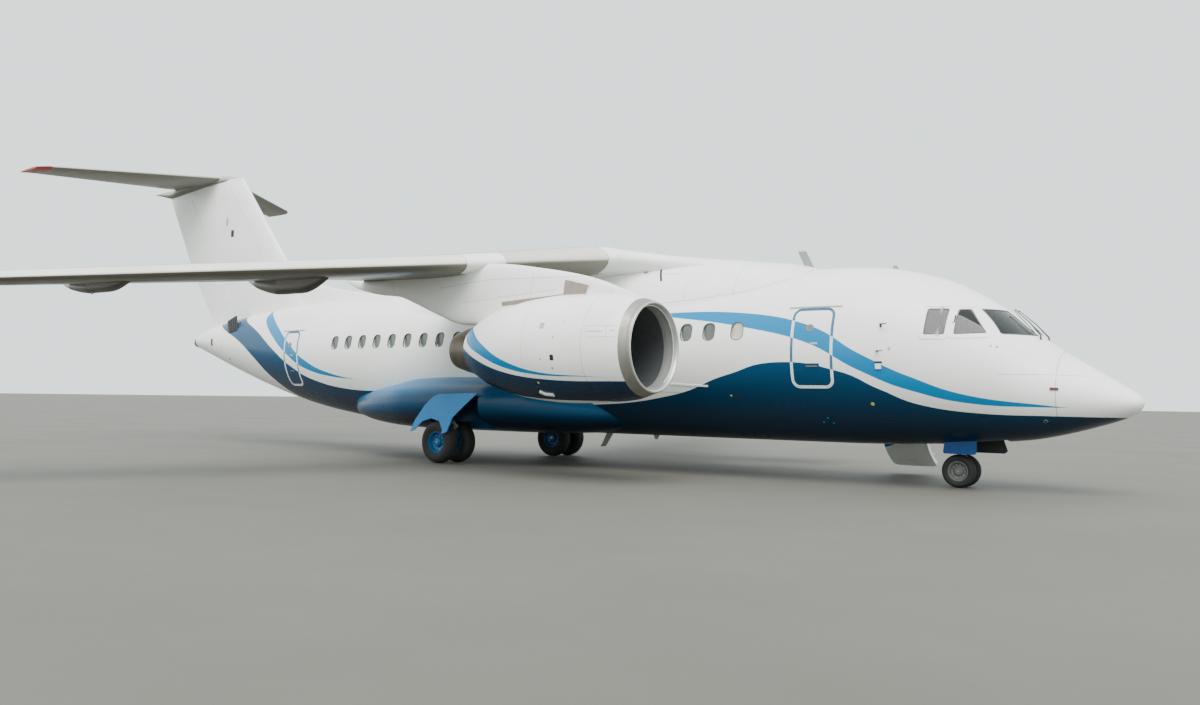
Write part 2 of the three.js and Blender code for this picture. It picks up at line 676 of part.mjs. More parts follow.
// Airstair door, drawn shut and then turned open about its sill hinge
function airstair() {
  const { front, rear, low, high, skin, steps, tread, inset, barrel, hingeY, hingeZ, open } = STAIR;
  const middle = hullAt(rear);
  const z = (middle.top + middle.bottom) / 2;
  const radius = middle.half;
  const arc = new THREE.Shape();
  arc.absarc(0, z, radius, low * RAD, high * RAD, false);
  arc.absarc(0, z, radius - skin, high * RAD, low * RAD, true);
  const turnX = new THREE.Matrix4().makeBasis(new THREE.Vector3(0, 1, 0), new THREE.Vector3(0, 0, 1),
    new THREE.Vector3(1, 0, 0));
  const options = { depth: front - rear, bevelEnabled: false, curveSegments: STAIR.arcFaces };
  const geometry = new THREE.ExtrudeGeometry(arc, options);
  const foot = hingeZ + VESTIBULE.above + CLEAR;
  const outline = roundedOutline(rear, front, foot, z + radius * Math.sin(high * RAD), DOOR_CORNER);
  const shutPanel = solidFrom(geometry, turnX.setPosition(rear, 0, 0)).intersect(plate(outline, ...DOOR_REACH));
  const parts = [shutPanel, bar([rear, hingeY, hingeZ], [front, hingeY, hingeZ], barrel)];
  for (let i = 1; i <= steps; i++) {
    const a = (low + (high - low) * i / (steps + 0.6)) * RAD;
    const y = (radius - skin) * Math.cos(a);
    const h = z + (radius - skin) * Math.sin(a);
    parts.push(box(rear + inset, front - inset, y - tread, y + STAIR.treadRoot, h - STAIR.treadHalf,
      h + STAIR.treadHalf));
  }
  const shut = join(parts);
  const swing = new THREE.Matrix4().makeTranslation(0, hingeY, hingeZ)
    .multiply(new THREE.Matrix4().makeRotationX(-open * RAD))
    .multiply(new THREE.Matrix4().makeTranslation(0, -hingeY, -hingeZ));
  const { vertProperties, triVerts } = shut.getMesh();
  const swung = new THREE.BufferGeometry();
  swung.setAttribute('position', new THREE.BufferAttribute(vertProperties, 3));
  swung.setIndex(Array.from(triVerts));
  return solidFrom(swung, swing);
}

function stairLugs() {
  const { front, rear, hingeY, hingeZ, barrel, lug, lugDepth, lugHalf } = STAIR;
  const spans = [[rear - lug, rear - PIVOT], [front + PIVOT, front + lug]];
  return spans.flatMap(([a, b]) => [
    bar([a, hingeY, hingeZ], [b, hingeY, hingeZ], barrel),
    box(a, b, hingeY - lugDepth, hingeY, hingeZ - lugHalf, hingeZ + lugHalf),
  ]);
}

function noseSection() {
  const shell = cut(hull(NOSE_X + SEAT, RADOME_X - SEAT), [
    cockpitRoom(0),
    vestibule(),
    bar([STAIR.rear - CLEAR, STAIR.hingeY, STAIR.hingeZ], [STAIR.front + CLEAR, STAIR.hingeY, STAIR.hingeZ],
      STAIR.barrel + CLEAR),
    box(NOSE.bayRear, NOSE.bayFront, -NOSE.bayHalf, NOSE.bayHalf, 0, NOSE.bayTop),
    ...windowTools(0),
    ...pocketsBetween(NOSE_X, RADOME_X),
  ]);
  return join([shell, ...stairLugs()]);
}

// One band of glass inside the wall, with a pane standing up into each opening
function glazing() {
  const { rear, front, wall, glass, pane, sill, head, fromRear, fromFront } = COCKPIT;
  const layer = (outer, inner) => hull(rear, front, -outer).subtract(hull(rear - pane, front + pane, -inner));
  const slab = box(rear + fromRear, front - fromFront, -FAR, FAR, sill, head);
  const band = layer(wall + SEAT, wall + glass).intersect(slab);
  const raised = layer(pane, wall + glass / 2).intersect(slab);
  return join([band, ...windowTools(-pane).map((tool) => raised.intersect(tool))]);
}

function instrumentPanel() {
  const { rear, front, wall, glass } = COCKPIT;
  const [aft, fore, half, top] = PANEL.pedestal;
  const room = hull(rear, front, -wall - glass - PANEL.inset);
  const pedestal = box(aft, fore, -half, half, FLOOR_Z + SEAT, top);
  return platePoints(PANEL.board, -FAR, FAR).intersect(room).add(pedestal);
}

function pilotSeats() {
  const [rear, front, half, thick] = SEAT_BASE;
  const seat = (y) => [
    ...SEAT_BOXES.map(([x0, x1, wide, z0, z1]) => box(x0, x1, y - wide, y + wide, z0, z1)),
    ...SEAT_PLATES.map(([wide, corners]) => platePoints(corners, y - wide, y + wide)),
  ];
  const base = box(rear, front, -half, half, FLOOR_Z + SEAT, FLOOR_Z + SEAT + thick);
  return join([base, ...seat(-SEAT_Y), ...seat(SEAT_Y)]);
}

function fuselage() {
  const { rear, root, depth, z, rise, outer, bore, throat, sides } = APU_PIPE;
  const pipe = bar([rear, 0, z], [root, 0, z], outer, outer, sides);
  const hollow = bar([rear - CLEAR, 0, z], [rear + depth, 0, z + rise], bore, throat, sides);
  const meshes = [
    piece('radome', hull(RADOME_X + SEAT, TIP_X), WHITE),
    piece('fuselage_nose', noseSection(), WHITE),
    piece('fuselage_centre', hull(AFT_X + SEAT, NOSE_X), WHITE),
    piece('fuselage_aft', cut(hull(CONE_X + SEAT, AFT_X), pocketsBetween(CONE_X, AFT_X)), WHITE),
    piece('tail_cone', hull(TAIL_X, CONE_X).add(pipe).subtract(hollow), GREY),
    piece('cockpit_glazing', glazing(), GLASS),
    piece('instrument_panel', instrumentPanel(), TRIM),
    piece('pilot_seats', pilotSeats(), SEATING),
    piece('airstair_door', airstair(), NAVY),
    ...doors.map((d) => piece(d.name, d.door, WHITE)),
  ];
  return assembly('fuselage', meshes);
}

// Wing

function wingPoint(span, u, drop = 0) {
  return surfacePoint(WING, span, u, WING_CAMBER, starboard, drop);
}

const trackFairings = TRACK_FAIRINGS.map(([span, front, rear, deep, half]) => {
  const [, lead, trail] = rowAt(WING, span);
  const { thin, sides, square } = FAIRING_RING;
  return loft(FAIRING_SWELL.map(([t, swell]) => {
    const x = front + t * (rear - front);
    const u = (lead - x) / (lead - trail);
    const spine = pointOn(rowAt(WING, span), Math.min(u, 1), 0, starboard).z;
    const belly = spine - (spine - deep) * swell;
    const crown = spine + FAIRING_CROWN.rise * (swell + FAIRING_CROWN.least);
    const wide = half * (thin + (1 - thin) * swell);
    return ovalRing(x, wide, crown, belly, sides, square).map((p) => p.setY(p.y - span));
  }));
});

const pylonWhole = loft(PYLON.map(([x, top, bottom, half]) => ovalRing(x, half, top, bottom, 12, 0.7)
  .map((p) => p.setY(p.y - ENGINE.y))));

// A lug on a fixed fairing and the round slot that it needs in the moving one
function hingeLug(frame, y) {
  const arm = box(-LUG.reach, 0, y - LUG.half, y + LUG.half, -LUG.radius, LUG.radius, frame.matrix);
  return join([arm, barOn(frame, y - LUG.half, y + LUG.half, LUG.radius, LUG.radius, PIN_SIDES)]);
}

function lugSlot(frame, y) {
  return barOn(frame, y - LUG.half - PIVOT, y + LUG.half + PIVOT, LUG.slot, LUG.slot, PIN_SIDES);
}

function alongFrame(frame, span) {
  const t = (-span - frame.from.y) / (frame.to.y - frame.from.y);
  return t * frame.length;
}

// A slat rides on two curved tracks about a line under the wing
function slatTrack(frame, y, grow) {
  const { aft, drop, radius, half, side, travel, overlap, slack, openEnd, rootEnd } = SLAT_TRACK;
  const face = Math.acos(-aft / radius);
  const shape = new THREE.Shape();
  const start = face - (travel + overlap + grow * slack) * RAD;
  const end = face + (grow > 0 ? openEnd : rootEnd) * RAD;
  shape.absarc(aft, -drop, radius + half + grow, start, end, false);
  shape.absarc(aft, -drop, radius - half - grow, end, start, true);
  const wide = side + (grow > 0 ? PIVOT : 0);
  return plate(shape, y - wide, y + wide, frame.matrix);
}

const wingFrames = {};

function wingParts() {
  const whole = surface(WING, WING_CAMBER, starboard);
  const parts = {};
  const { moving: aileron, fixed: rest, frame } = hingedSurface(whole, WING, AILERON, WING_CAMBER, starboard);
  parts.aileron = aileron;
  wingFrames.aileron = frame;
  let fixed = rest;
  let pylon = pylonWhole;
  for (const [name, inner, outer, dropIn, dropOut] of FLAPS) {
    const hinge = lineFrame(wingPoint(inner, FLAP_CHORD, dropIn), wingPoint(outer, FLAP_CHORD, dropOut));
    wingFrames[name] = hinge;
    const { matrix, length } = hinge;
    const back = matrix.clone().multiply(new THREE.Matrix4().makeRotationY(-FLAP_SWEEP_BACK * RAD));
    const behind = box(0, FAR, 0, length, -FAR, FAR, matrix)
      .intersect(box(0, FAR * 2, -CLEAR, length + CLEAR, -FAR, FAR, back));
    const space = box(-CLEAR, FAR, -CLEAR, length + CLEAR, -FAR, FAR, matrix);
    let flap = whole.intersect(behind);
    fixed = fixed.subtract(space);
    const carried = name === 'flap_inboard' ? [[ENGINE.y, pylonWhole]]
      : TRACK_FAIRINGS.map((row, i) => [row[0], trackFairings[i]]);
    for (const [span, fairing] of carried) {
      const y = alongFrame(hinge, span);
      flap = flap.add(fairing.intersect(behind)).subtract(lugSlot(hinge, y));
      const front = fairing.subtract(space).add(hingeLug(hinge, y));
      if (span === ENGINE.y) pylon = front;
      else fixed = fixed.add(front);
    }
    parts[name] = flap;
  }
  for (const [name, inner, outer, tracks] of SLATS) {
    const line = lineFrame(wingPoint(inner, SLAT_CHORD), wingPoint(outer, SLAT_CHORD));
    wingFrames[name] = line;
    const { matrix, length } = line;
    const places = tracks.map((span) => alongFrame(line, span));
    parts[name] = join([
      whole.intersect(box(-FAR, 0, 0, length, -FAR, FAR, matrix)),
      ...places.map((y) => slatTrack(line, y, 0)),
    ]);
    fixed = cut(fixed, [
      box(-FAR, SLAT_GAP, -CLEAR, length + CLEAR, -FAR, FAR, matrix),
      ...places.map((y) => slatTrack(line, y, SLAT_TRACK.around)),
    ]);
  }
  return { ...parts, fixed, pylon };
}

function wingFairing() {
  const humpRings = HUMP.map(([x, half, top]) => ovalRing(x, half, top, 2 * HUMP_BASE - top, 24));
  const rings = [SEAT - WING_ROOT, WING_ROOT - SEAT].map((y) => sectionRing(WING[0], WING_CAMBER, 0,
    (x, span, h) => new THREE.Vector3(x, y, h)));
  return join([loft(humpRings), loft(rings)]).subtract(bodyTool);
}

// Engine

function cowlSolid() {
  return turned([...COWL, ...DUCT, COWL[0]], LIP.sides, -ENGINE.y, ENGINE.z);
}

function lipSolid() {
  const { join: at, front, inner, outer, sides } = LIP;
  const middle = (inner + outer) / 2;
  const half = (outer - inner) / 2;
  const profile = [[at + SEAT, inner]];
  for (let i = 1; i < 5; i++) {
    const a = Math.PI * i / 5;
    profile.push([at + (front - at) * Math.sin(a), middle - half * Math.cos(a)]);
  }
  profile.push([at + SEAT, outer], profile[0]);
  return turned(profile, sides, -ENGINE.y, ENGINE.z);
}

function nozzleSolid() {
  return turned([...NOZZLE, NOZZLE[0]], LIP.sides, -ENGINE.y, ENGINE.z);
}

function ductRadius(x) {
  const k = DUCT.findIndex(([station]) => station > x);
  const [[x0, r0], [x1, r1]] = [DUCT[k - 1], DUCT[k]];
  return r0 + (r1 - r0) * (x - x0) / (x1 - x0);
}

function coreSolid() {
  const { front, rear, radius, shaft, plug, tip, end, taper, bevel, sides, struts, strut, armSpan } = CORE;
  const body = turned([[plug, 0], [plug, tip], [rear, end], [rear + taper, radius], [front - bevel, radius],
    [front, end], [front, shaft], [FAN.rear - PIVOT, shaft], [FAN.rear - PIVOT, 0]], sides, -ENGINE.y,
  ENGINE.z);
  const [from, to] = armSpan;
  const duct = turned([[from, 0], [from, ductRadius(from) - SEAT], [to, ductRadius(to) - SEAT], [to, 0]],
    LIP.sides, -ENGINE.y, ENGINE.z);
  const arms = [];
  for (let i = 0; i < struts; i++) {
    const matrix = new THREE.Matrix4().makeTranslation(0, -ENGINE.y, ENGINE.z)
      .multiply(new THREE.Matrix4().makeRotationX(Math.PI * 2 * (i + 0.5) / struts));
    arms.push(box(from + strut, to - strut, -strut, strut, radius / 2, FAR, matrix).intersect(duct));
  }
  return join([body, ...arms]);
}

function fanSolid() {
  const { front, rear, hub, blades, spinner, twist, rim, swell, swellShare, sides } = FAN;
  const middle = (front + rear) / 2;
  const parts = [turned([[rear, 0], [rear, hub], [front, hub - rim], [front + swell, swellShare * hub],
    [spinner, 0]], sides)];
  for (let i = 0; i < blades; i++) {
    const turn = new THREE.Matrix4().makeRotationX(Math.PI * 2 * i / blades);
    const rings = BLADE.map(([r, half, thick, share]) => {
      const a = twist * share * RAD;
      const corner = (u, v) => new THREE.Vector3(middle + u * Math.cos(a) - v * Math.sin(a),
        u * Math.sin(a) + v * Math.cos(a), r).applyMatrix4(turn);
      return [corner(-half, -thick), corner(half, -thick), corner(half, thick), corner(-half, thick)];
    });
    parts.push(loft(rings));
  }
  const place = new THREE.Matrix4().makeTranslation(0, -ENGINE.y, ENGINE.z);
  const { vertProperties, triVerts } = join(parts).getMesh();
  const geometry = new THREE.BufferGeometry();
  geometry.setAttribute('position', new THREE.BufferAttribute(vertProperties, 3));
  geometry.setIndex(Array.from(triVerts));
  return solidFrom(geometry, place);
}

function wings() {
  const { fixed, pylon, ...moving } = wingParts();
  const skin = COWL.slice().reverse().map(([x, r]) => [x, r + SEAT]);
  const cowlTool = turned([[COWL_REAR, 0], ...skin, [LIP.join, 0]], LIP.sides, -ENGINE.y, ENGINE.z);
  const wingTool = surface(WING, WING_CAMBER, starboard, SEAT);
  const strutted = cut(pylon, [wingTool, cowlTool]);
  return assembly('wing',
    piece('wing_fairing', wingFairing(), WHITE),
    pair('wing', fixed, GREY),
    Object.entries(moving).map(([name, solid]) => pair(name, solid, GREY)),
    pair('pylon', strutted, WHITE),
    pair('cowl', cowlSolid(), WHITE),
    pair('intake_lip', lipSolid(), BARE),
    pair('nozzle', nozzleSolid(), STEEL),
    pair('engine_core', coreSolid(), STEEL),
    pair('fan', fanSolid(), TITAN, [0, -ENGINE.y, ENGINE.z]));
}

// Tail

const finTool = surface(FIN, 0, upright, SEAT);

function tail() {
  const finWhole = surface(FIN, 0, upright);
  const dorsal = loft(DORSAL.map(([x, half, top]) => ovalRing(x, half, top, 2 * DORSAL_BASE - top, 12)));
  const { moving: rudder, fixed: fin, frame: rudderLine } = hingedSurface(finWhole, FIN, RUDDER, 0, upright);
  const half = surface(TAILPLANE, 0, starboard);
  const { moving: elevator, fixed: right, frame: elevatorLine } =
    hingedSurface(half, TAILPLANE, ELEVATOR, 0, starboard);
  const left = mirrorY(right);
  const bullet = loft(BULLET.map(([x, wide, top, bottom]) => ovalRing(x, wide, top, bottom, 12)));
  wingFrames.rudder = rudderLine;
  wingFrames.elevator = elevatorLine;
  return assembly('tail',
    piece('fin', cut(fin.add(dorsal), [bodyTool]), WHITE),
    piece('rudder', rudder, WHITE),
    piece('tailplane', join([right, left, bullet]).subtract(finTool), WHITE),
    pair('elevator', elevator, WHITE));
}

function mirrorY(solid) {
  const { vertProperties, triVerts } = solid.getMesh();
  const points = [];
  for (let i = 0; i < vertProperties.length; i += 3) {
    points.push(new THREE.Vector3(vertProperties[i], -vertProperties[i + 1], vertProperties[i + 2]));
  }
  const faces = [];
  for (let i = 0; i < triVerts.length; i += 3) faces.push([triVerts[i], triVerts[i + 1], triVerts[i + 2]]);
  return solidOf(points, faces);
}

// Landing gear

function tyreSolid(spec, y) {
  const { x, tyre, half, rim } = spec;
  const flat = 1 / Math.cos(Math.PI / WHEEL_SIDES);
  const depth = tyre - rim;
  const points = TYRE_PROFILE.map(([d, w]) => new THREE.Vector2((rim + depth * d) * flat, half * w));
  const geometry = new THREE.LatheGeometry(points, WHEEL_SIDES);
  geometry.rotateY(Math.PI / WHEEL_SIDES);
  geometry.translate(x, y, tyre);
  return solidFrom(geometry);
}

// Two rims on one turning axle
function hubSolid(spec, yMid) {
  const { x, wheelY, tyre, half, rim, axle } = spec;
  const r = rim - SEAT;
  const parts = [bar([x, yMid - wheelY, tyre], [x, yMid + wheelY, tyre], axle, axle, AXLE_SIDES)];
  for (const side of [-1, 1]) {
    const profile = [[0, 0], [0, axle + 30], [0.3 * half, r - 40], [0, r], [1.3 * half, r],
      [0.55 * half, r - 50], [0.9 * half, axle + 20], [0.9 * half, 0]];
    const points = profile.map(([d, radius]) => new THREE.Vector2(radius, side * (d - 0.55 * half)));
    const geometry = new THREE.LatheGeometry(points, HUB_SIDES);
    geometry.translate(x, yMid + side * wheelY, tyre);
    parts.push(solidFrom(geometry));
  }
  return join(parts);
}

function mainLeg() {
  const { x, y } = MAIN;
  const [rear, front, half, low, high] = MAIN_YOKE;
  const parts = [
    legBars(MAIN_BARS, x, -y),
    link(MAIN_LINK, x, -y),
    box(x + rear, x + front, -y - half, -y + half, low, high),
    doorArm(x, -y),
  ];
  return join(parts).subtract(axleBore(MAIN, -y));
}

function legBars(rows, x, y) {
  return join(rows.map(([x0, y0, z0, x1, y1, z1, r]) => bar([x + x0, y + y0, z0], [x + x1, y + y1, z1], r)));
}

function link({ half, corners }, x, y) {
  return platePoints(corners.map(([dx, z]) => [x + dx, z]), y - half, y + half);
}

function axleBore({ x, wheelY, tyre, axle }, y) {
  return bar([x, y - wheelY, tyre], [x, y + wheelY, tyre], axle + BEARING, axle + BEARING, AXLE_SIDES);
}

function doorArm(x, legY) {
  const { y, headZ, lean, thick, armZ, arm } = LEG_DOOR;
  const [across, up] = [Math.cos(lean * RAD), -Math.sin(lean * RAD)];
  const faceY = -y + thick / 2 + (armZ - headZ) * Math.tan(lean * RAD);
  const end = [x, faceY + SEAT * across, armZ + SEAT * up];
  const reach = (legY - end[1]) / across;
  return bar([x, legY, end[2] + reach * up], end, arm);
}

function legDoor() {
  const { y, headZ, lean, thick, corners } = LEG_DOOR;
  const slope = Math.tan(lean * RAD);
  const skew = new THREE.Matrix4().set(1, 0, 0, 0, 0, 1, slope, -y - headZ * slope, 0, 0, 1, 0, 0, 0, 0, 1);
  const outline = new THREE.Shape(corners.map(([x, z]) => new THREE.Vector2(x, z)));
  return plate(outline, -thick / 2, thick / 2, skew);
}

function noseLegs() {
  const steered = legBars(STEERED_BARS, NOSE.x, 0).add(link(NOSE_LINK, NOSE.x, 0));
  return { fixed: legBars(NOSE_BARS, NOSE.x, 0), steered: steered.subtract(axleBore(NOSE, 0)) };
}

function noseDoor([name, side, corners]) {
  const { y, thick } = NOSE_DOOR;
  const panel = platePoints(corners, side * y - thick / 2, side * y + thick / 2);
  return piece(name, panel.subtract(bodyTool), NAVY);
}

function gear() {
  const { inner: wall, corners } = WHEEL_BAY;
  const bays = [platePoints(corners, wall, FAR), platePoints(corners, -FAR, -wall)];
  const belly = loft(BELLY.map(([x, half, high, low]) => ovalRing(x, half, high, low, 24, BELLY_SQUARE)));
  const { fixed, steered } = noseLegs();
  const [outer, inner] = [-MAIN.y - MAIN.wheelY, -MAIN.y + MAIN.wheelY];
  const meshes = [
    piece('belly_fairing', cut(belly, [bodyTool, ...bays]), NAVY),
    pair('main_leg', mainLeg(), ENAMEL),
    pair('leg_door', legDoor(), SKY),
    pair('main_hubs', hubSolid(MAIN, -MAIN.y), SKY, [MAIN.x, -MAIN.y, MAIN.tyre]),
    pair('main_tyre_outer', tyreSolid(MAIN, outer), TYRE, [MAIN.x, outer, MAIN.tyre]),
    pair('main_tyre_inner', tyreSolid(MAIN, inner), TYRE, [MAIN.x, inner, MAIN.tyre]),
    piece('nose_leg', fixed, ENAMEL),
    piece('nose_leg_steered', steered, ENAMEL),
    piece('nose_hubs', hubSolid(NOSE, 0), ENAMEL, false, [NOSE.x, 0, NOSE.tyre]),
    pair('nose_tyre', tyreSolid(NOSE, -NOSE.wheelY), TYRE, [NOSE.x, -NOSE.wheelY, NOSE.tyre]),
    ...NOSE_DOORS.map(noseDoor),
  ];
  return assembly('landing_gear', meshes);
}

const group = new THREE.Group();
group.name = 'regional_airliner';
group.add(fuselage(), wings(), tail(), gear());

export default group;
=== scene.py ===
"""A high-wing, T-tail, twin-turbofan regional airliner, parked on its gear.

Everything is in metres. +X runs to the nose, +Y to port and +Z up, and the origin is on the
ground at mid-length. The starboard side is made first, and the port side mirrors it.
"""

import json
import logging
import math
from dataclasses import dataclass, field, replace
from enum import Enum
from typing import Callable, Sequence

import bmesh
import bpy
import numpy as np
from mathutils import Matrix, Vector


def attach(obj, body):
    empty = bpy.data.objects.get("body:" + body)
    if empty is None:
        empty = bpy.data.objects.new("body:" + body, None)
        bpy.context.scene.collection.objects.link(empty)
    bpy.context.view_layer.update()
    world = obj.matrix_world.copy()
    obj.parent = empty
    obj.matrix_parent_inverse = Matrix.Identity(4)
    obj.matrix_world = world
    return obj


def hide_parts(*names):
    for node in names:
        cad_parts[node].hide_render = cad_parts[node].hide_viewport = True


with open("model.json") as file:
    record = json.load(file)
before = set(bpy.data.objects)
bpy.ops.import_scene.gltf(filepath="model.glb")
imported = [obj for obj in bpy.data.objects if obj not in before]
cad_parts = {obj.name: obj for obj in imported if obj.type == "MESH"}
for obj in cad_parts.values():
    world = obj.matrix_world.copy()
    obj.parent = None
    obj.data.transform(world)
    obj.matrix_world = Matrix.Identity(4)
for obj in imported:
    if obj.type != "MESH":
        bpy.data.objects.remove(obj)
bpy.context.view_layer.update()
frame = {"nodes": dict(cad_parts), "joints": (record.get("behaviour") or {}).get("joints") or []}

log = logging.getLogger("airliner")

Pair = tuple[float, float]
Triple = tuple[float, float, float]
Ring = list[Vector]
Tree, Socket, Thing = bpy.types.NodeTree, bpy.types.NodeSocket, bpy.types.Object
Skin = Callable[[float, float], Vector]

FAR = 3.0          # beyond any piece that a box trims
CLEAR = 0.008      # between moving pieces
PIVOT = 0.0004     # between the faces of a hinge
SEAT = 0.0003      # between pieces that stand on each other
ROOT_BODY = "airframe"


class Way(Enum):
    """How a tool works on a body."""

    CUT = "DIFFERENCE"
    JOIN = "UNION"
    KEEP = "INTERSECT"


Step = tuple[Way, "Mould"]


# Curves and shapes


class Fair:
    """A smooth monotone curve through the rows of a short table."""

    def __init__(self, rows: Sequence[Sequence[float]]) -> None:
        """Works out the slope at each row.

        Args:
            rows: the station first, then the values there.
        """
        data = np.array(sorted(rows), float)
        self.x, self.y = data[:, 0], data[:, 1:]
        step = np.diff(self.x)[:, None]
        rise = np.diff(self.y, axis=0) / step
        self.slope = np.vstack([rise[:1], np.zeros_like(rise[1:]), rise[-1:]])
        before, after = rise[:-1], rise[1:]
        same = before * after > 0
        first, second = 2 * step[1:] + step[:-1], step[1:] + 2 * step[:-1]
        safe_before, safe_after = np.where(same, before, 1.0), np.where(same, after, 1.0)
        mean = (first + second) / (first / safe_before + second / safe_after)
        self.slope[1:-1] = np.where(same, mean, 0.0)

    def __call__(self, x: float) -> np.ndarray:
        """The values at a station.

        Args:
            x: the station.

        Returns:
            One number for each column after the first.
        """
        k = int(np.clip(np.searchsorted(self.x, x) - 1, 0, len(self.x) - 2))
        step = self.x[k + 1] - self.x[k]
        t = float(np.clip((x - self.x[k]) / step, 0, 1))
        a, b = 2 * t**3 - 3 * t**2 + 1, t**3 - 2 * t**2 + t
        c, d = 3 * t**2 - 2 * t**3, t**3 - t**2
        return (a * self.y[k] + b * step * self.slope[k]
                + c * self.y[k + 1] + d * step * self.slope[k + 1])

    def first(self, x: float) -> float:
        """The first value at a station."""
        return float(self(x)[0])

    def line(self, count: int, start: float | None = None,
             end: float | None = None) -> list[Pair]:
        """Points of a curve of one value, over its whole length unless the ends are given."""
        ends = (self.x[0] if start is None else start, self.x[-1] if end is None else end)
        return [(float(x), self.first(float(x))) for x in np.linspace(*ends, count)]


def oval(x: float, half: float, top: float, bottom: float, sides: int, power: float = 1.0,
         y: float = 0.0) -> Ring:
    """A ring square to the X axis.

    Args:
        x: its station.
        half: its half width.
        top: its highest z.
        bottom: its lowest z.
        sides: how many points it has.
        power: 1 for an ellipse, less for squarer.
        y: its middle.

    Returns:
        The points, from the port side over the top.
    """
    ring = []
    for i in range(sides):
        c, s = math.cos(math.tau * i / sides), math.sin(math.tau * i / sides)
        wide = math.copysign(abs(c) ** power, c)
        high = math.copysign(abs(s) ** power, s)
        ring.append(Vector((x, y + half * wide, (top + bottom) / 2 + (top - bottom) / 2 * high)))
    return ring


def rounded(x0: float, x1: float, z0: float, z1: float, radius: float,
            steps: int = 6) -> list[Pair]:
    """A rectangle with round corners, anticlockwise.

    Args:
        x0: its left side.
        x1: its right side.
        z0: its bottom.
        z1: its top.
        radius: the corner's radius.
        steps: faces in a corner.

    Returns:
        Its outline.
    """
    corners = ((x1 - radius, z0 + radius, -90), (x1 - radius, z1 - radius, 0),
               (x0 + radius, z1 - radius, 90), (x0 + radius, z0 + radius, 180))
    outline = []
    for cx, cz, start in corners:
        for i in range(steps + 1):
            a = math.radians(start + 90 * i / steps)
            outline.append((cx + radius * math.cos(a), cz + radius * math.sin(a)))
    return outline


def softened(corners: Sequence[Pair], radius: float, steps: int = 4) -> list[Pair]:
    """A polygon with its corners rounded off.

    Args:
        corners: the sharp corners in turn.
        radius: how far from each corner the round begins.
        steps: faces in a corner.

    Returns:
        The rounded outline.
    """
    outline = []
    count = len(corners)
    for i, corner in enumerate(corners):
        here = Vector(corner)
        before, after = Vector(corners[i - 1]), Vector(corners[(i + 1) % count])
        a = here + (before - here).normalized() * radius
        b = here + (after - here).normalized() * radius
        for k in range(steps + 1):
            t = k / steps
            outline.append(tuple(a * (1 - t) ** 2 + here * 2 * t * (1 - t) + b * t**2))
    return outline


def facing(skin: Skin, u: float, v: float) -> Vector:
    """The way that a skin looks, out of the body."""
    here, small = skin(u, v), 0.01
    return (skin(u + small, v) - here).cross(skin(u, v + small) - here).normalized()


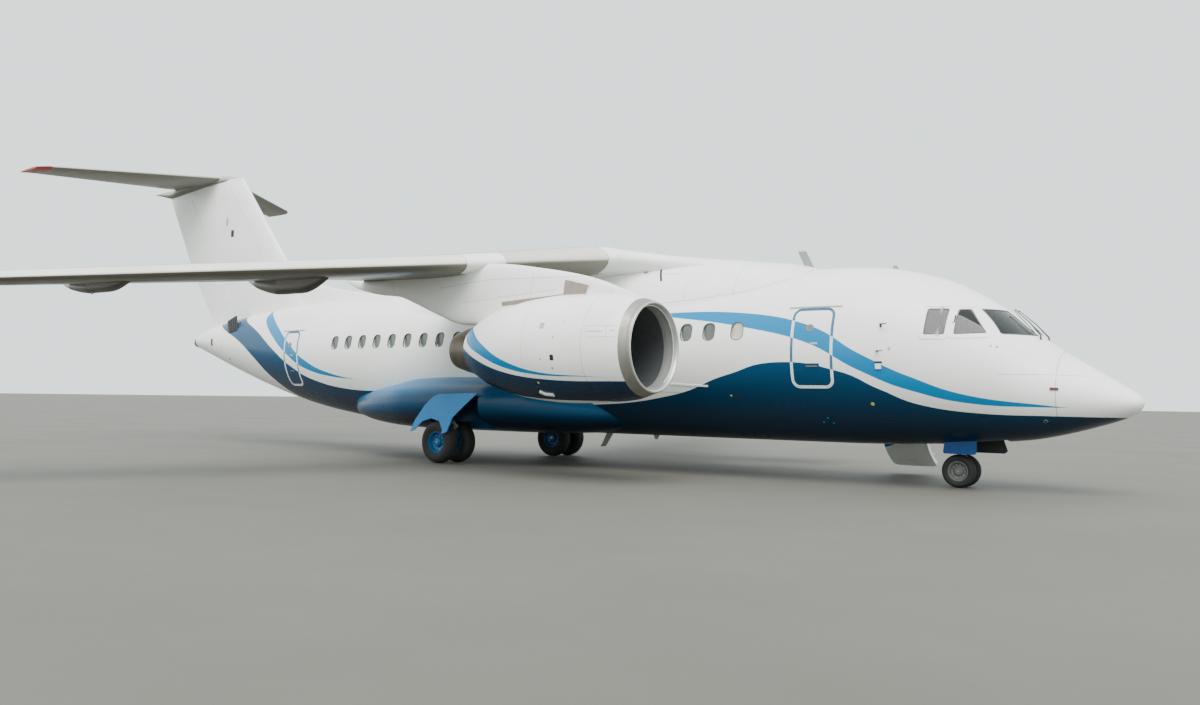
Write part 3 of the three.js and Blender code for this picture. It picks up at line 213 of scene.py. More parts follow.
@dataclass
class Mould:
    """The points and faces of a piece while it is being made."""

    points: list[Vector] = field(default_factory=list)
    faces: list[tuple[int, ...]] = field(default_factory=list)

    def loft(self, rings: Sequence[Ring], caps: bool = True) -> "Mould":
        """Adds a skin through rings with equal numbers of points.

        Args:
            rings: the rings in turn.
            caps: whether the two ends are closed.

        Returns:
            This mould.
        """
        start, count = len(self.points), len(rings[0])
        self.points += [p for ring in rings for p in ring]
        last = start + (len(rings) - 1) * count
        for row in range(start, last, count):
            for i in range(count):
                a, b = row + i, row + (i + 1) % count
                self.faces.append((a, b, b + count, a + count))
        if caps:
            self.faces.append(tuple(range(start + count - 1, start - 1, -1)))
            self.faces.append(tuple(range(last, last + count)))
        return self

    def turned(self, profile: Sequence[Pair], sides: int, centre: Triple, axis: str = "x",
               caps: bool = False) -> "Mould":
        """Adds a turned body whose profile closes on itself, or on the axis with caps.

        Args:
            profile: distance along the axis from the centre, and radius.
            sides: points round it.
            centre: a point on the axis.
            axis: x, y or z.
            caps: whether the profile is open and its ends are closed.

        Returns:
            This mould.
        """
        along = "xyz".index(axis)
        across, up = (along + 1) % 3, (along + 2) % 3
        rings = []
        for distance, radius in profile:
            rings.append([Vector(centre) for _ in range(sides)])
            for i, p in enumerate(rings[-1]):
                p[along] += distance
                p[across] += radius * math.cos(math.tau * i / sides)
                p[up] += radius * math.sin(math.tau * i / sides)
        start = len(self.points)
        self.loft(rings, caps)
        last = len(self.points) - sides
        for i in range(0 if caps else sides):
            j = (i + 1) % sides
            self.faces.append((last + i, last + j, start + j, start + i))
        return self

    def bar(self, a: Sequence[float], b: Sequence[float], radius: float,
            end: float | None = None, sides: int = 20) -> "Mould":
        """Adds a round bar between two points."""
        return self.tube([Vector(a), Vector(b)], [radius, radius if end is None else end], sides)

    def tube(self, path: Sequence[Sequence[float]], radii: float | Sequence[float],
             sides: int = 12) -> "Mould":
        """Adds a solid round tube along a path.

        Args:
            path: the points of its centre line.
            radii: one radius, or one for each point.
            sides: points round it.

        Returns:
            This mould.
        """
        line = [Vector(p) for p in path]
        sizes = [radii] * len(line) if isinstance(radii, (int, float)) else list(radii)
        way = (line[1] - line[0]).normalized()
        side = way.orthogonal().normalized()
        rings = []
        for i, p in enumerate(line):
            ahead, behind = line[min(i + 1, len(line) - 1)], line[max(i - 1, 0)]
            turned_way = (ahead - behind).normalized()
            side = (side - turned_way * side.dot(turned_way)).normalized()
            up = turned_way.cross(side)
            rings.append([p + (side * math.cos(math.tau * k / sides)
                               + up * math.sin(math.tau * k / sides)) * sizes[i]
                          for k in range(sides)])
        return self.loft(rings)

    def box(self, low: Triple, high: Triple, matrix: Matrix | None = None) -> "Mould":
        """Adds a box.

        Args:
            low: its lowest corner.
            high: its highest corner.
            matrix: a frame that the corners are given in.

        Returns:
            This mould.
        """
        place = matrix or Matrix.Identity(4)
        rings = [[place @ Vector((x, y, z)) for x, y in ((low[0], low[1]), (high[0], low[1]),
                                                         (high[0], high[1]), (low[0], high[1]))]
                 for z in (low[2], high[2])]
        return self.loft(rings)

    def plate(self, outline: Sequence[Pair], low: float, high: float,
              axis: str = "y", matrix: Matrix | None = None) -> "Mould":
        """Adds a flat plate with a given outline.

        Args:
            outline: its corners, in the two axes other than the one across it.
            low: where it starts across.
            high: where it ends across.
            axis: the axis across it.
            matrix: a frame that it is given in.

        Returns:
            This mould.
        """
        place = matrix or Matrix.Identity(4)
        order = {"x": lambda u, v, w: (w, u, v), "y": lambda u, v, w: (u, w, v),
                 "z": lambda u, v, w: (u, v, w)}[axis]
        return self.loft([[place @ Vector(order(u, v, w)) for u, v in outline]
                          for w in (low, high)])

    def strip(self, skin: Skin, path: Sequence[Pair], width: float, lift: float = 0.0015,
              thick: float = 0.003) -> "Mould":
        """Adds a thin band that lies on a skin along a path.

        Args:
            skin: gives a point of the surface from its two measures.
            path: the measures of each point of the path.
            width: the band's width.
            lift: how far it stands over the surface.
            thick: how thick it is.

        Returns:
            This mould.
        """
        longest = 0.06
        fine = [path[0]]
        for (u0, v0), (u1, v1) in zip(path, path[1:]):
            count = max(1, math.ceil((skin(u1, v1) - skin(u0, v0)).length / longest))
            fine += [(u0 + (u1 - u0) * k / count, v0 + (v1 - v0) * k / count)
                     for k in range(1, count + 1)]
        line = [skin(u, v) for u, v in fine]
        rings = []
        for i, here in enumerate(line):
            normal = facing(skin, *fine[i])
            way = (line[min(i + 1, len(line) - 1)] - line[max(i - 1, 0)]).normalized()
            side = normal.cross(way).normalized() * width / 2
            up, down = normal * lift, normal * (lift - thick)
            rings.append([here + side + up, here - side + up, here - side + down,
                          here + side + down])
        return self.loft(rings)

    def disc(self, skin: Skin, u: float, v: float, radius: float, high: float = 0.006) -> "Mould":
        """Adds a low round boss that lies on a skin."""
        here, out = skin(u, v), facing(skin, u, v)
        return self.bar(here - out * 0.01, here + out * high, radius, radius * 0.9)

    def moved(self, matrix: Matrix) -> "Mould":
        """A copy in another place."""
        return Mould([matrix @ p for p in self.points], list(self.faces))

    def mirrored(self) -> "Mould":
        """The same piece on the other side of the centre plane."""
        return Mould([Vector((p.x, -p.y, p.z)) for p in self.points],
                     [tuple(reversed(f)) for f in self.faces])

    def add(self, other: "Mould") -> "Mould":
        """Adds all of another mould.

        Args:
            other: the mould, which stays as it is.

        Returns:
            This mould.
        """
        start = len(self.points)
        self.points += other.points
        self.faces += [tuple(i + start for i in f) for f in other.faces]
        return self

    def worked(self, *steps: "Step") -> "Mould":
        """A copy that closed tools have cut, joined or trimmed, in turn."""
        return taken(carved(self, steps))

    def cast(self, name: str) -> Thing:
        """Turns the mould into a mesh object with its faces pointing out.

        Args:
            name: the object's name.

        Returns:
            The object, linked to the scene.
        """
        mesh = bpy.data.meshes.new(name)
        mesh.from_pydata([tuple(p) for p in self.points], [], self.faces)
        work = bmesh.new()
        work.from_mesh(mesh)
        bmesh.ops.remove_doubles(work, verts=work.verts, dist=1e-6)
        bmesh.ops.recalc_face_normals(work, faces=work.faces)
        work.to_mesh(mesh)
        work.free()
        made = bpy.data.objects.new(name, mesh)
        bpy.context.scene.collection.objects.link(made)
        return made


def carved(body: Mould, steps: Sequence[Step]) -> Thing:
    """Cuts, joins or trims a closed body with closed tools, in turn.

    Args:
        body: what is worked on.
        steps: how each tool works, and the tool.

    Returns:
        The finished object.
    """
    made = body.cast("work")
    tools = [mould.cast("tool") for _, mould in steps]
    for (way, _), tool in zip(steps, tools):
        change = made.modifiers.new("carve", "BOOLEAN")
        change.operation, change.object, change.solver = way.value, tool, "MANIFOLD"
    baked(made)
    for tool in tools:
        bpy.data.meshes.remove(tool.data)
    if not made.data.polygons:
        raise ValueError("nothing is left of a carved piece")
    return made


def baked(made: Thing) -> None:
    """Turns an object's modifiers into its mesh.

    Args:
        made: the object.
    """
    old = made.data
    settled = made.evaluated_get(bpy.context.evaluated_depsgraph_get())
    made.data = bpy.data.meshes.new_from_object(settled)
    made.modifiers.clear()
    bpy.data.meshes.remove(old)


def taken(made: Thing) -> Mould:
    """The mould of a finished object, which is then removed.

    Args:
        made: the object.

    Returns:
        Its points and faces.
    """
    mesh = made.data
    mould = Mould([v.co.copy() for v in mesh.vertices], [tuple(p.vertices) for p in mesh.polygons])
    bpy.data.meshes.remove(mesh)
    return mould


def crisp(mesh: bpy.types.Mesh, angle: float) -> None:
    """Shades a mesh smooth, apart from edges that turn by more than an angle.

    Args:
        mesh: the mesh.
        angle: in degrees.
    """
    work = bmesh.new()
    work.from_mesh(mesh)
    limit = math.radians(angle)
    for face in work.faces:
        face.smooth = True
    for edge in work.edges:
        edge.smooth = len(edge.link_faces) == 2 and edge.calc_face_angle(0.0) < limit
    work.to_mesh(mesh)
    work.free()


def settle(made: Thing, name: str, finish: "Finish", body: str = ROOT_BODY,
           stands_for: Sequence[str] = (), angle: float = 32.0) -> Thing:
    """Names, dresses and fastens a finished object.

    Args:
        made: the object.
        name: the piece's name.
        finish: its finish.
        body: the body that it rides on.
        stands_for: the plain solids whose place it takes.
        angle: edges sharper than this stay sharp.

    Returns:
        The same object.
    """
    made.name = name
    made.data.name = name
    crisp(made.data, angle)
    made.data.materials.clear()
    made.data.materials.append(finish.material())
    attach(made, body)
    if stands_for:
        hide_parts(*stands_for)
    log.info("%s: %d faces", name, len(made.data.polygons))
    return made


def place(mould: Mould, name: str, finish: "Finish", body: str = ROOT_BODY,
          stands_for: Sequence[str] = (), angle: float = 32.0, pair: bool = False) -> None:
    """Casts a mould and settles it, on both sides where asked.

    Args:
        mould: the piece.
        name: its name, which holds "right" for a pair.
        finish: its finish.
        body: the body that it rides on.
        stands_for: the plain solids whose place it takes.
        angle: edges sharper than this stay sharp.
        pair: whether the port side gets the mirror image.
    """
    settle(mould.cast(name), name, finish, body, stands_for, angle)
    if pair:
        other = [text.replace("right", "left") for text in (name, body, *stands_for)]
        settle(mould.mirrored().cast(other[0]), other[0], finish, other[1], other[2:], angle)


# Finishes


def linear(colour: int) -> tuple[float, float, float, float]:
    """An sRGB hex colour in linear light."""
    parts = [(colour >> shift & 255) / 255 for shift in (16, 8, 0)]
    return (*[p / 12.92 if p <= 0.04045 else ((p + 0.055) / 1.055) ** 2.4 for p in parts], 1.0)


def add(tree: Tree, kind: str, links: dict | None = None, **settings: object) -> bpy.types.Node:
    """Adds a node with its settings, and its sockets' values or links.

    Args:
        tree: the material's nodes.
        kind: the node's type.
        links: a value or an output socket for each input, by name or number.
        **settings: the node's own properties.

    Returns:
        The node.
    """
    node = tree.nodes.new(kind)
    for key, value in settings.items():
        setattr(node, key, value)
    for key, value in (links or {}).items():
        socket = node.inputs[key]
        if isinstance(value, Socket):
            tree.links.new(value, socket)
        else:
            socket.default_value = value
    return node


_made: dict[str, bpy.types.Material] = {}


@dataclass(frozen=True)
class Finish:
    """A surface finish: a colour that wanders a little, and its gloss and fine relief.

    The wander is the light soiling and uneven film that keep a large surface from looking flat.
    """

    name: str
    slot: str
    colour: int
    soil: int
    roughness: float = 0.4
    spread: float = 0.08        # how far the roughness wanders
    metallic: float = 0.0
    coat: float = 0.0
    gloss: float = 0.5          # strength of the mirror reflection
    grain_mm: float = 900.0     # size of the soiling's patches
    relief_mm: float = 0.0      # height of the fine relief
    relief_size_mm: float = 6.0
    stretch: Triple = (1.0, 1.0, 1.0)
    share: float = 0.5          # how much of the soil colour shows at its darkest

    def material(self) -> bpy.types.Material:
        """The finish's material, made once."""
        if self.name not in _made:
            made = bpy.data.materials.new(self.name)
            made.use_nodes = True
            made.diffuse_color = linear(self.colour)
            self.build(made.node_tree)
            _made[self.name] = made
        return _made[self.name]

    def build(self, tree: Tree) -> None:
        """Links the finish's nodes: soft patches, the colour, the gloss and the fine relief.

        Args:
            tree: the material's nodes.
        """
        surface = tree.nodes["Principled BSDF"]
        spot = add(tree, "ShaderNodeTexCoord")
        where = add(tree, "ShaderNodeMapping", {"Vector": spot.outputs["Object"],
                                                "Scale": self.stretch}).outputs[0]
        noise = add(tree, "ShaderNodeTexNoise", {"Vector": where, "Scale": 1000 / self.grain_mm,
                                                 "Detail": 6.0, "Roughness": 0.62})
        wander = add(tree, "ShaderNodeMapRange", {0: noise.outputs[0], 1: 0.38, 2: 0.72},
                     clamp=True).outputs[0]
        tree.links.new(self.paint(tree, wander), surface.inputs["Base Color"])
        rough = add(tree, "ShaderNodeMapRange", {0: wander, 3: self.roughness - self.spread,
                                                 4: self.roughness + self.spread})
        tree.links.new(rough.outputs[0], surface.inputs["Roughness"])
        for name, value in (("Metallic", self.metallic), ("Specular IOR Level", self.gloss),
                            ("Coat Weight", self.coat), ("Coat Roughness", 0.06)):
            surface.inputs[name].default_value = value
        if self.relief_mm:
            fine = add(tree, "ShaderNodeTexNoise", {"Vector": where, "Detail": 3.0,
                                                    "Scale": 1000 / self.relief_size_mm})
            bump = add(tree, "ShaderNodeBump", {"Height": fine.outputs[0], "Strength": 1.0,
                                                "Distance": self.relief_mm / 1000})
            tree.links.new(bump.outputs[0], surface.inputs["Normal"])

    def paint(self, tree: Tree, wander: Socket) -> Socket:
        """The colour, with its soiling."""
        share = add(tree, "ShaderNodeMath", {0: wander, 1: self.share}, operation="MULTIPLY")
        return add(tree, "ShaderNodeMix", {"Factor": share.outputs[0], 6: linear(self.colour),
                                           7: linear(self.soil)}, data_type="RGBA").outputs[2]


@dataclass(frozen=True)
class Livery(Finish):
    """Polyurethane aircraft enamel, sprayed in three colours over filled aluminium skin.

    Each edge between colours is a smooth curve of z against x. The clear coat gives the soft
    reflections, and the streaks along the airflow keep the white from looking like plastic.
    """

    domain: tuple[float, float, float, float] = (-15.0, 15.0, 0.0, 5.0)
    deep: int = 0x004468
    shaded_deep: int = 0x001A2E        # the deep blue where it faces down, darkened as painted shade
    bright: int = 0x0078AA
    deep_top: tuple[Pair, ...] = ()
    deep_low: tuple[Pair, ...] = ()
    bright_top: tuple[Pair, ...] = ()
    bright_low: tuple[Pair, ...] = ()
    swapped: bool = False       # an outline that shows on both white and blue
    soft: float = 0.002         # half the height over which one colour turns into the next
    hinge: Triple = (0.0, 0.0, 0.0)
    open_by: float = 0.0        # how far a door stands open, as its paint follows it

    def above(self, tree: Tree, along: Socket, height: Socket, edge: Sequence[Pair]) -> Socket:
        """1 above an edge and 0 below it.

        Args:
            tree: the material's nodes.
            along: x, from 0 to 1 over the domain.
            height: z, from 0 to 1 over the domain.
            edge: the points of the edge, x and z in metres.

        Returns:
            The socket.
        """
        x0, x1, z0, z1 = self.domain
        curve = add(tree, "ShaderNodeFloatCurve", {"Value": along})
        points = sorted(((x - x0) / (x1 - x0), (z - z0) / (z1 - z0)) for x, z in edge)
        handles = curve.mapping.curves[0].points
        for _ in points[2:]:
            handles.new(0.5, 0.5)
        for handle, point in zip(handles, points):
            handle.location = point
        curve.mapping.update()
        over = add(tree, "ShaderNodeMath", {0: height, 1: curve.outputs[0]}, operation="SUBTRACT")
        soft = self.soft / (z1 - z0)
        return add(tree, "ShaderNodeMapRange", {0: over.outputs[0], 1: -soft, 2: soft},
                   clamp=True).outputs[0]

    def band(self, tree: Tree, along: Socket, height: Socket, low: Sequence[Pair],
             high: Sequence[Pair]) -> Socket:
        """1 between two edges and 0 outside them."""
        over, under = (self.above(tree, along, height, edge) for edge in (low, high))
        return add(tree, "ShaderNodeMath", {0: over, 1: under}, operation="SUBTRACT",
                   use_clamp=True).outputs[0]

    def paint(self, tree: Tree, wander: Socket) -> Socket:
        """The three colours.

        Args:
            tree: the material's nodes.
            wander: soft patches between 0 and 1.

        Returns:
            The socket.
        """
        spot = add(tree, "ShaderNodeTexCoord")
        shut = add(tree, "ShaderNodeVectorRotate", {0: spot.outputs["Object"], 1: self.hinge,
                                                    3: math.radians(self.open_by)},
                   rotation_type="X_AXIS")
        parts = add(tree, "ShaderNodeSeparateXYZ", {0: shut.outputs[0]})
        x0, x1, z0, z1 = self.domain
        along = add(tree, "ShaderNodeMapRange", {0: parts.outputs[0], 1: x0, 2: x1}).outputs[0]
        height = add(tree, "ShaderNodeMapRange", {0: parts.outputs[2], 1: z0, 2: z1}).outputs[0]
        deep = self.band(tree, along, height, self.deep_low, self.deep_top)
        bright = self.band(tree, along, height, self.bright_low, self.bright_top)
        parts = add(tree, "ShaderNodeSeparateXYZ", {0: spot.outputs["Normal"]})
        # Faces that look down mix towards the darker deep blue: painted shade
        lit = add(tree, "ShaderNodeMapRange", {0: parts.outputs[2], 1: -0.95, 2: 0.0}, clamp=True)
        blue = add(tree, "ShaderNodeMix", {"Factor": lit.outputs[0], 6: linear(self.shaded_deep),
                                           7: linear(self.deep)}, data_type="RGBA").outputs[2]
        if self.swapped:
            share = add(tree, "ShaderNodeMath", {0: deep, 1: bright},
                        operation="MAXIMUM").outputs[0]
            under, over = blue, linear(self.colour)
        else:
            share, over = deep, blue
            under = add(tree, "ShaderNodeMix", {"Factor": bright, 6: super().paint(tree, wander),
                                                7: linear(self.bright)},
                        data_type="RGBA").outputs[2]
        return add(tree, "ShaderNodeMix", {"Factor": share, 6: under, 7: over},
                   data_type="RGBA").outputs[2]


@dataclass(frozen=True)
class Shaded(Finish):
    """Enamel in two tones: faces that look down are darker, with painted shade, as on slats and
    tailplanes.
    """

    # The darker colour on faces that look down is painted shade
    under: int = 0x74716A

    def paint(self, tree: Tree, wander: Socket) -> Socket:
        """The colour above, and the painted shade colour below.

        Args:
            tree: the material's nodes.
            wander: soft patches between 0 and 1.

        Returns:
            The socket.
        """
        spot = add(tree, "ShaderNodeTexCoord")
        parts = add(tree, "ShaderNodeSeparateXYZ", {0: spot.outputs["Normal"]})
        upper = add(tree, "ShaderNodeMapRange", {0: parts.outputs[2], 1: -0.4, 2: 0.1}, clamp=True)
        return add(tree, "ShaderNodeMix", {"Factor": upper.outputs[0], 6: linear(self.under),
                                           7: super().paint(tree, wander)},
                   data_type="RGBA").outputs[2]


@dataclass(frozen=True)
class Glass(Finish):
    """Laminated, faintly grey acrylic: clear enough to show the room behind it."""

    clear: float = 0.92

    def build(self, tree: Tree) -> None:
        """Links the glass.

        Args:
            tree: the material's nodes.
        """
        super().build(tree)
        surface = tree.nodes["Principled BSDF"]
        surface.inputs["Transmission Weight"].default_value = self.clear
        surface.inputs["IOR"].default_value = 1.49


HULL_EDGES = {
    "deep_top": ((-15, 4.6), (-10.6, 4.2), (-9.6, 3.98), (-8.7, 3.60), (-7.6, 3.22), (-6.6, 2.72),
                 (-5.6, 2.20), (-4.6, 1.84), (-3.2, 1.62), (-1.0, 1.56), (2.0, 1.42), (4.6, 1.36),
                 (6.4, 1.56), (7.8, 1.98), (8.9, 2.20), (9.9, 2.05), (10.67, 1.72), (11.46, 1.43),
                 (12.3, 1.33), (13.36, 1.31), (15, 1.30)),
    "deep_low": ((-15, 4.5), (-10.6, 3.62), (-9.7, 3.34), (-8.7, 3.02), (-7.8, 2.56),
                 (-7.0, 1.98), (-6.2, 1.42), (-5.2, 0.9), (-3.8, 0.3), (-2.0, 0.05), (15, 0.05)),
    "bright_top": ((-15, 4.05), (-8.2, 4.02), (-7.4, 3.74), (-6.6, 3.36), (-5.8, 2.88),
                   (-4.9, 2.36), (-4.0, 2.06), (-2.9, 1.88), (-1.9, 1.82), (3.0, 2.6),
                   (5.6, 3.14), (6.8, 3.20), (8.2, 3.12), (9.22, 2.92), (10.37, 2.33),
                   (11.2, 1.94), (12.26, 1.60), (13.2, 1.49), (13.6, 1.45), (15, 1.40)),
    "bright_low": ((-15, 4.15), (-8.2, 4.06), (-7.4, 3.52), (-6.6, 3.02), (-5.8, 2.54),
                   (-4.9, 2.14), (-4.0, 1.96), (-2.9, 1.87), (-1.9, 1.86), (3.0, 2.7),
                   (5.6, 3.16), (6.8, 3.06), (8.2, 2.84), (9.22, 2.60), (10.37, 2.03),
                   (11.2, 1.70), (12.26, 1.48), (13.2, 1.45), (13.6, 1.45), (15, 1.42)),
}
COWL_EDGES = {
    "deep_top": ((0, 2.9), (3.3, 2.72), (3.55, 2.48), (4.1, 2.20), (5.0, 1.92), (6.0, 1.80),
                 (7.6, 1.78), (9, 1.78)),
    "deep_low": ((0, 1.9), (3.3, 1.86), (3.8, 1.72), (4.6, 1.56), (5.6, 1.46), (6.6, 1.44),
                 (9, 1.44)),
    "bright_top": ((0, 2.9), (3.42, 2.84), (3.8, 2.78), (4.3, 2.50), (5.0, 2.14), (5.8, 1.93),
                   (6.8, 1.86), (7.3, 1.84), (9, 1.82)),
    "bright_low": ((0, 2.95), (3.42, 2.86), (3.8, 2.50), (4.3, 2.26), (5.0, 2.01), (5.8, 1.88),
                   (6.8, 1.85), (7.3, 1.84), (9, 1.83)),
}


class Finishes:
    """Every finish on the aircraft."""

    enamel = Livery("sprayed_enamel_hull", "white_paint", 0xF4F5F2, 0xDEDCD2, 0.30, 0.05,
                    coat=0.12, gloss=0.25, grain_mm=1400, relief_mm=0.25, relief_size_mm=420,
                    stretch=(0.35, 1.0, 1.0), share=0.45, **HULL_EDGES)
    outline = replace(enamel, name="sprayed_enamel_outline", swapped=True, deep=0x1A5F88,
                      shaded_deep=0x1A5F88)
    cowl = replace(enamel, name="sprayed_enamel_cowl", domain=(0.0, 9.0, 1.0, 4.0), **COWL_EDGES)
    # The same enamel with no blue in it, on the tail and the fairings over the wing
    white = Finish("sprayed_enamel_white", "white_paint", 0xF4F5F2, 0xDFDDD4, 0.30, 0.05,
                   coat=0.12, gloss=0.25, grain_mm=1400, relief_mm=0.25, relief_size_mm=420,
                   stretch=(0.35, 1.0, 1.0), share=0.5)
    # Grey satin enamel on wing and tailplane skins, a little chalky from the weather; the under
    # colours here and below are painted shade
    satin = Shaded("satin_enamel_wing", "grey_paint", 0xB4B4AE, 0x97968F, 0.38, 0.07, coat=0.12,
                   grain_mm=800, relief_mm=0.15, relief_size_mm=160, stretch=(0.4, 1.0, 1.0),
                   under=0x49473F)
    tail = replace(satin, name="satin_enamel_tailplane", colour=0xB0B0AA, under=0x74736A)
    pale = replace(satin, name="satin_enamel_slat_outboard", colour=0xE8E8E0, soil=0xCAC6BA,
                   under=0x625E52)
    taupe_slat = replace(satin, name="satin_enamel_slat_inboard", colour=0xD2D0C7, soil=0xA9A498,
                         under=0x7A756A)
    # The pods' grey paint, darkened below the wing's grey as painted shade under the wing
    pod = replace(satin, name="satin_enamel_pods_shaded", colour=0x9A978B, soil=0x85827A,
                  under=0x6A665A)
    # Belly fairing, gear doors and wheels: enamel in the two blues
    deep = Finish("gloss_enamel_deep_blue", "navy_paint", 0x004068, 0x003252, 0.28, 0.06,
                  coat=0.12, gloss=0.25, grain_mm=700, relief_mm=0.2, relief_size_mm=300)
    bright = Finish("gloss_enamel_light_blue", "sky_paint", 0x0A7CBE, 0x0968A2, 0.3, 0.07,
                    coat=0.12, gloss=0.25, grain_mm=500, relief_mm=0.15, relief_size_mm=200)
    door = replace(deep, name="gloss_enamel_nose_door", colour=0x004486)
    # The wheels' light blue, darkened as painted shade on the hubs
    wheel = replace(bright, name="gloss_enamel_wheel_shaded", colour=0x08588A, soil=0x074A74)
    # The open door's outer skin faces down, so its deep blue takes the painted shade colour
    airstair = replace(enamel, name="sprayed_enamel_airstair", shaded_deep=0x003252,
                       hinge=(0.0, 1.512, 1.640), open_by=150.0)
    # Sealant lines, which are painted over with the colours that they cross; their darker deep blue
    # where they face down is painted shade
    hull_seam = replace(enamel, name="painted_sealant_hull", colour=0xB4B6B1, soil=0x9A9C97,
                        deep=0x00365A, shaded_deep=0x001020, bright=0x006AA2)
    cowl_seam = replace(cowl, name="painted_sealant_cowl", colour=0xB4B6B1, soil=0x9A9C97,
                        deep=0x00365A, shaded_deep=0x001020, bright=0x006AA2)
    # The belly fairing, deep blue, whose lighter top is a painted sky reflection that blends softly
    # into the deep blue below
    belly = replace(enamel, name="sprayed_enamel_belly", slot="navy_paint", colour=0x006494,
                    deep=0x003E60, soil=0x005A86, soft=0.12,
                    deep_top=((-15, 1.66), (0.6, 1.62), (1.6, 1.78), (3.0, 2.1), (15, 2.1)),
                    deep_low=((-15, 0.02), (15, 0.02)), bright_top=((-15, 0.02), (15, 0.02)),
                    bright_low=((-15, 0.03), (15, 0.03)))
    brown = Finish("anodised_brown", "exhaust_steel", 0x5A2C28, 0x472320, 0.4, 0.05, grain_mm=60)
    red = Finish("gloss_enamel_red", "white_paint", 0xA33A33, 0x84302A, 0.34, 0.06, coat=0.1)
    # Polished aluminium intake lip, dulled by rain and bugs
    polished = Finish("brushed_aluminium", "bare_aluminium", 0xC6C7C3, 0xAAA9A5, 0.40, 0.07,
                      metallic=0.6, grain_mm=260, relief_mm=0.08, relief_size_mm=40)
    eroded = Finish("rain_eroded_aluminium", "bare_aluminium", 0x97958D, 0x78756D, 0.52, 0.08,
                    metallic=0.7, grain_mm=160, relief_mm=0.3, relief_size_mm=12)
    duct = Finish("perforated_liner", "fan_titanium", 0x4C4E4F, 0x3D3F41, 0.55, 0.08,
                  grain_mm=200, relief_mm=0.6, relief_size_mm=14)
    # Nickel steel that has been hot: brown-grey with straw and blue in it
    steel = Finish("heat_stained_steel", "exhaust_steel", 0x6E6558, 0x4A433B, 0.45, 0.1,
                   metallic=0.75, grain_mm=240, relief_mm=0.1, relief_size_mm=30,
                   stretch=(1.0, 0.4, 0.4))
    titanium = Finish("milled_titanium", "fan_titanium", 0x7D8084, 0x66696D, 0.34, 0.08,
                      metallic=0.9, grain_mm=120, relief_mm=0.05, relief_size_mm=8)
    # Epoxy enamel on the gear legs, with grease round the joints
    epoxy = Finish("epoxy_enamel_gear", "gear_enamel", 0xB8BCBE, 0x6D6A64, 0.38, 0.1,
                   grain_mm=120, relief_mm=0.1, relief_size_mm=20, share=0.8)
    cast = replace(epoxy, name="cast_magnesium_rim", colour=0x636461, soil=0x4E4D4A)
    chrome = Finish("hard_chrome", "gear_enamel", 0xD5D8DA, 0xB8BBBD, 0.12, 0.04, metallic=1.0,
                    grain_mm=90)
    tread = Finish("tyre_rubber", "tyre", 0x1A1B1C, 0x2C2B29, 0.82, 0.08, grain_mm=90,
                   relief_mm=0.5, relief_size_mm=5, share=0.7)
    rubber = Finish("window_rubber", "cockpit_trim", 0x474A49, 0x5A5D5C, 0.6, 0.08, grain_mm=80,
                    relief_mm=0.1)
    black = Finish("matt_black_enamel", "cockpit_trim", 0x1A1B1C, 0x2B2C2D, 0.55, 0.08, grain_mm=90,
                   relief_mm=0.1)
    trim = Finish("cabin_wall_laminate", "cockpit_trim", 0xB9B4A6, 0x9C978A, 0.55, 0.06,
                  grain_mm=300, relief_mm=0.1, relief_size_mm=3)
    moulded = Finish("moulded_trim", "cockpit_trim", 0x3B3E42, 0x2E3033, 0.6, 0.07, grain_mm=120,
                     relief_mm=0.15, relief_size_mm=2)
    webbing = Finish("woven_seat_cover", "seat_fabric", 0x3E4A5A, 0x2C3541, 0.88, 0.05,
                     grain_mm=40, relief_mm=0.4, relief_size_mm=3)
    fleece = Finish("sheepskin_cover", "seat_fabric", 0x8F8676, 0x6C6456, 0.95, 0.04, grain_mm=30,
                    relief_mm=3.0, relief_size_mm=12)
    scuffed = Finish("scuffed_alloy", "gear_enamel", 0x9A9C9C, 0x6E6F70, 0.36, 0.1, metallic=0.8,
                     grain_mm=120, relief_mm=0.2, relief_size_mm=10)
    fibreglass = Finish("fibreglass_antenna", "grey_paint", 0x8B9289, 0x767C74, 0.5, 0.06,
                        grain_mm=120)
    taupe = Finish("weathered_duct_enamel", "exhaust_steel", 0x8F8378, 0x6E645B, 0.55, 0.08,
                   grain_mm=160)
    pane = Finish("cabin_window_acrylic", "cockpit_glass", 0x6A716E, 0x565D5A, 0.22, 0.04, coat=0.3,
                  grain_mm=420, share=0.8)
    blind = Finish("cabin_window_blind", "cockpit_trim", 0xCFCBBD, 0xBDB8A9, 0.35, 0.05, coat=0.8,
                   grain_mm=200)
    glass = Glass("laminated_windscreen", "cockpit_glass", 0x454E4F, 0x3F4848, 0.03, 0.01,
                  gloss=0.3, grain_mm=500)
    yellow = Finish("gloss_enamel_yellow", "white_paint", 0xC9CB45, 0xA9AA3A, 0.35, 0.05)
    seam = Finish("seam_sealant", "white_paint", 0xAEB0AB, 0x989A95, 0.5, 0.05, grain_mm=200)
    green_lamp = Finish("green_lamp_glass", "cockpit_glass", 0x1F8A56, 0x1A6E46, 0.1, 0.03,
                        coat=1.0)
    red_lamp = replace(green_lamp, name="red_lamp_glass", colour=0xA8242A, soil=0x8A1D22)


# The fuselage


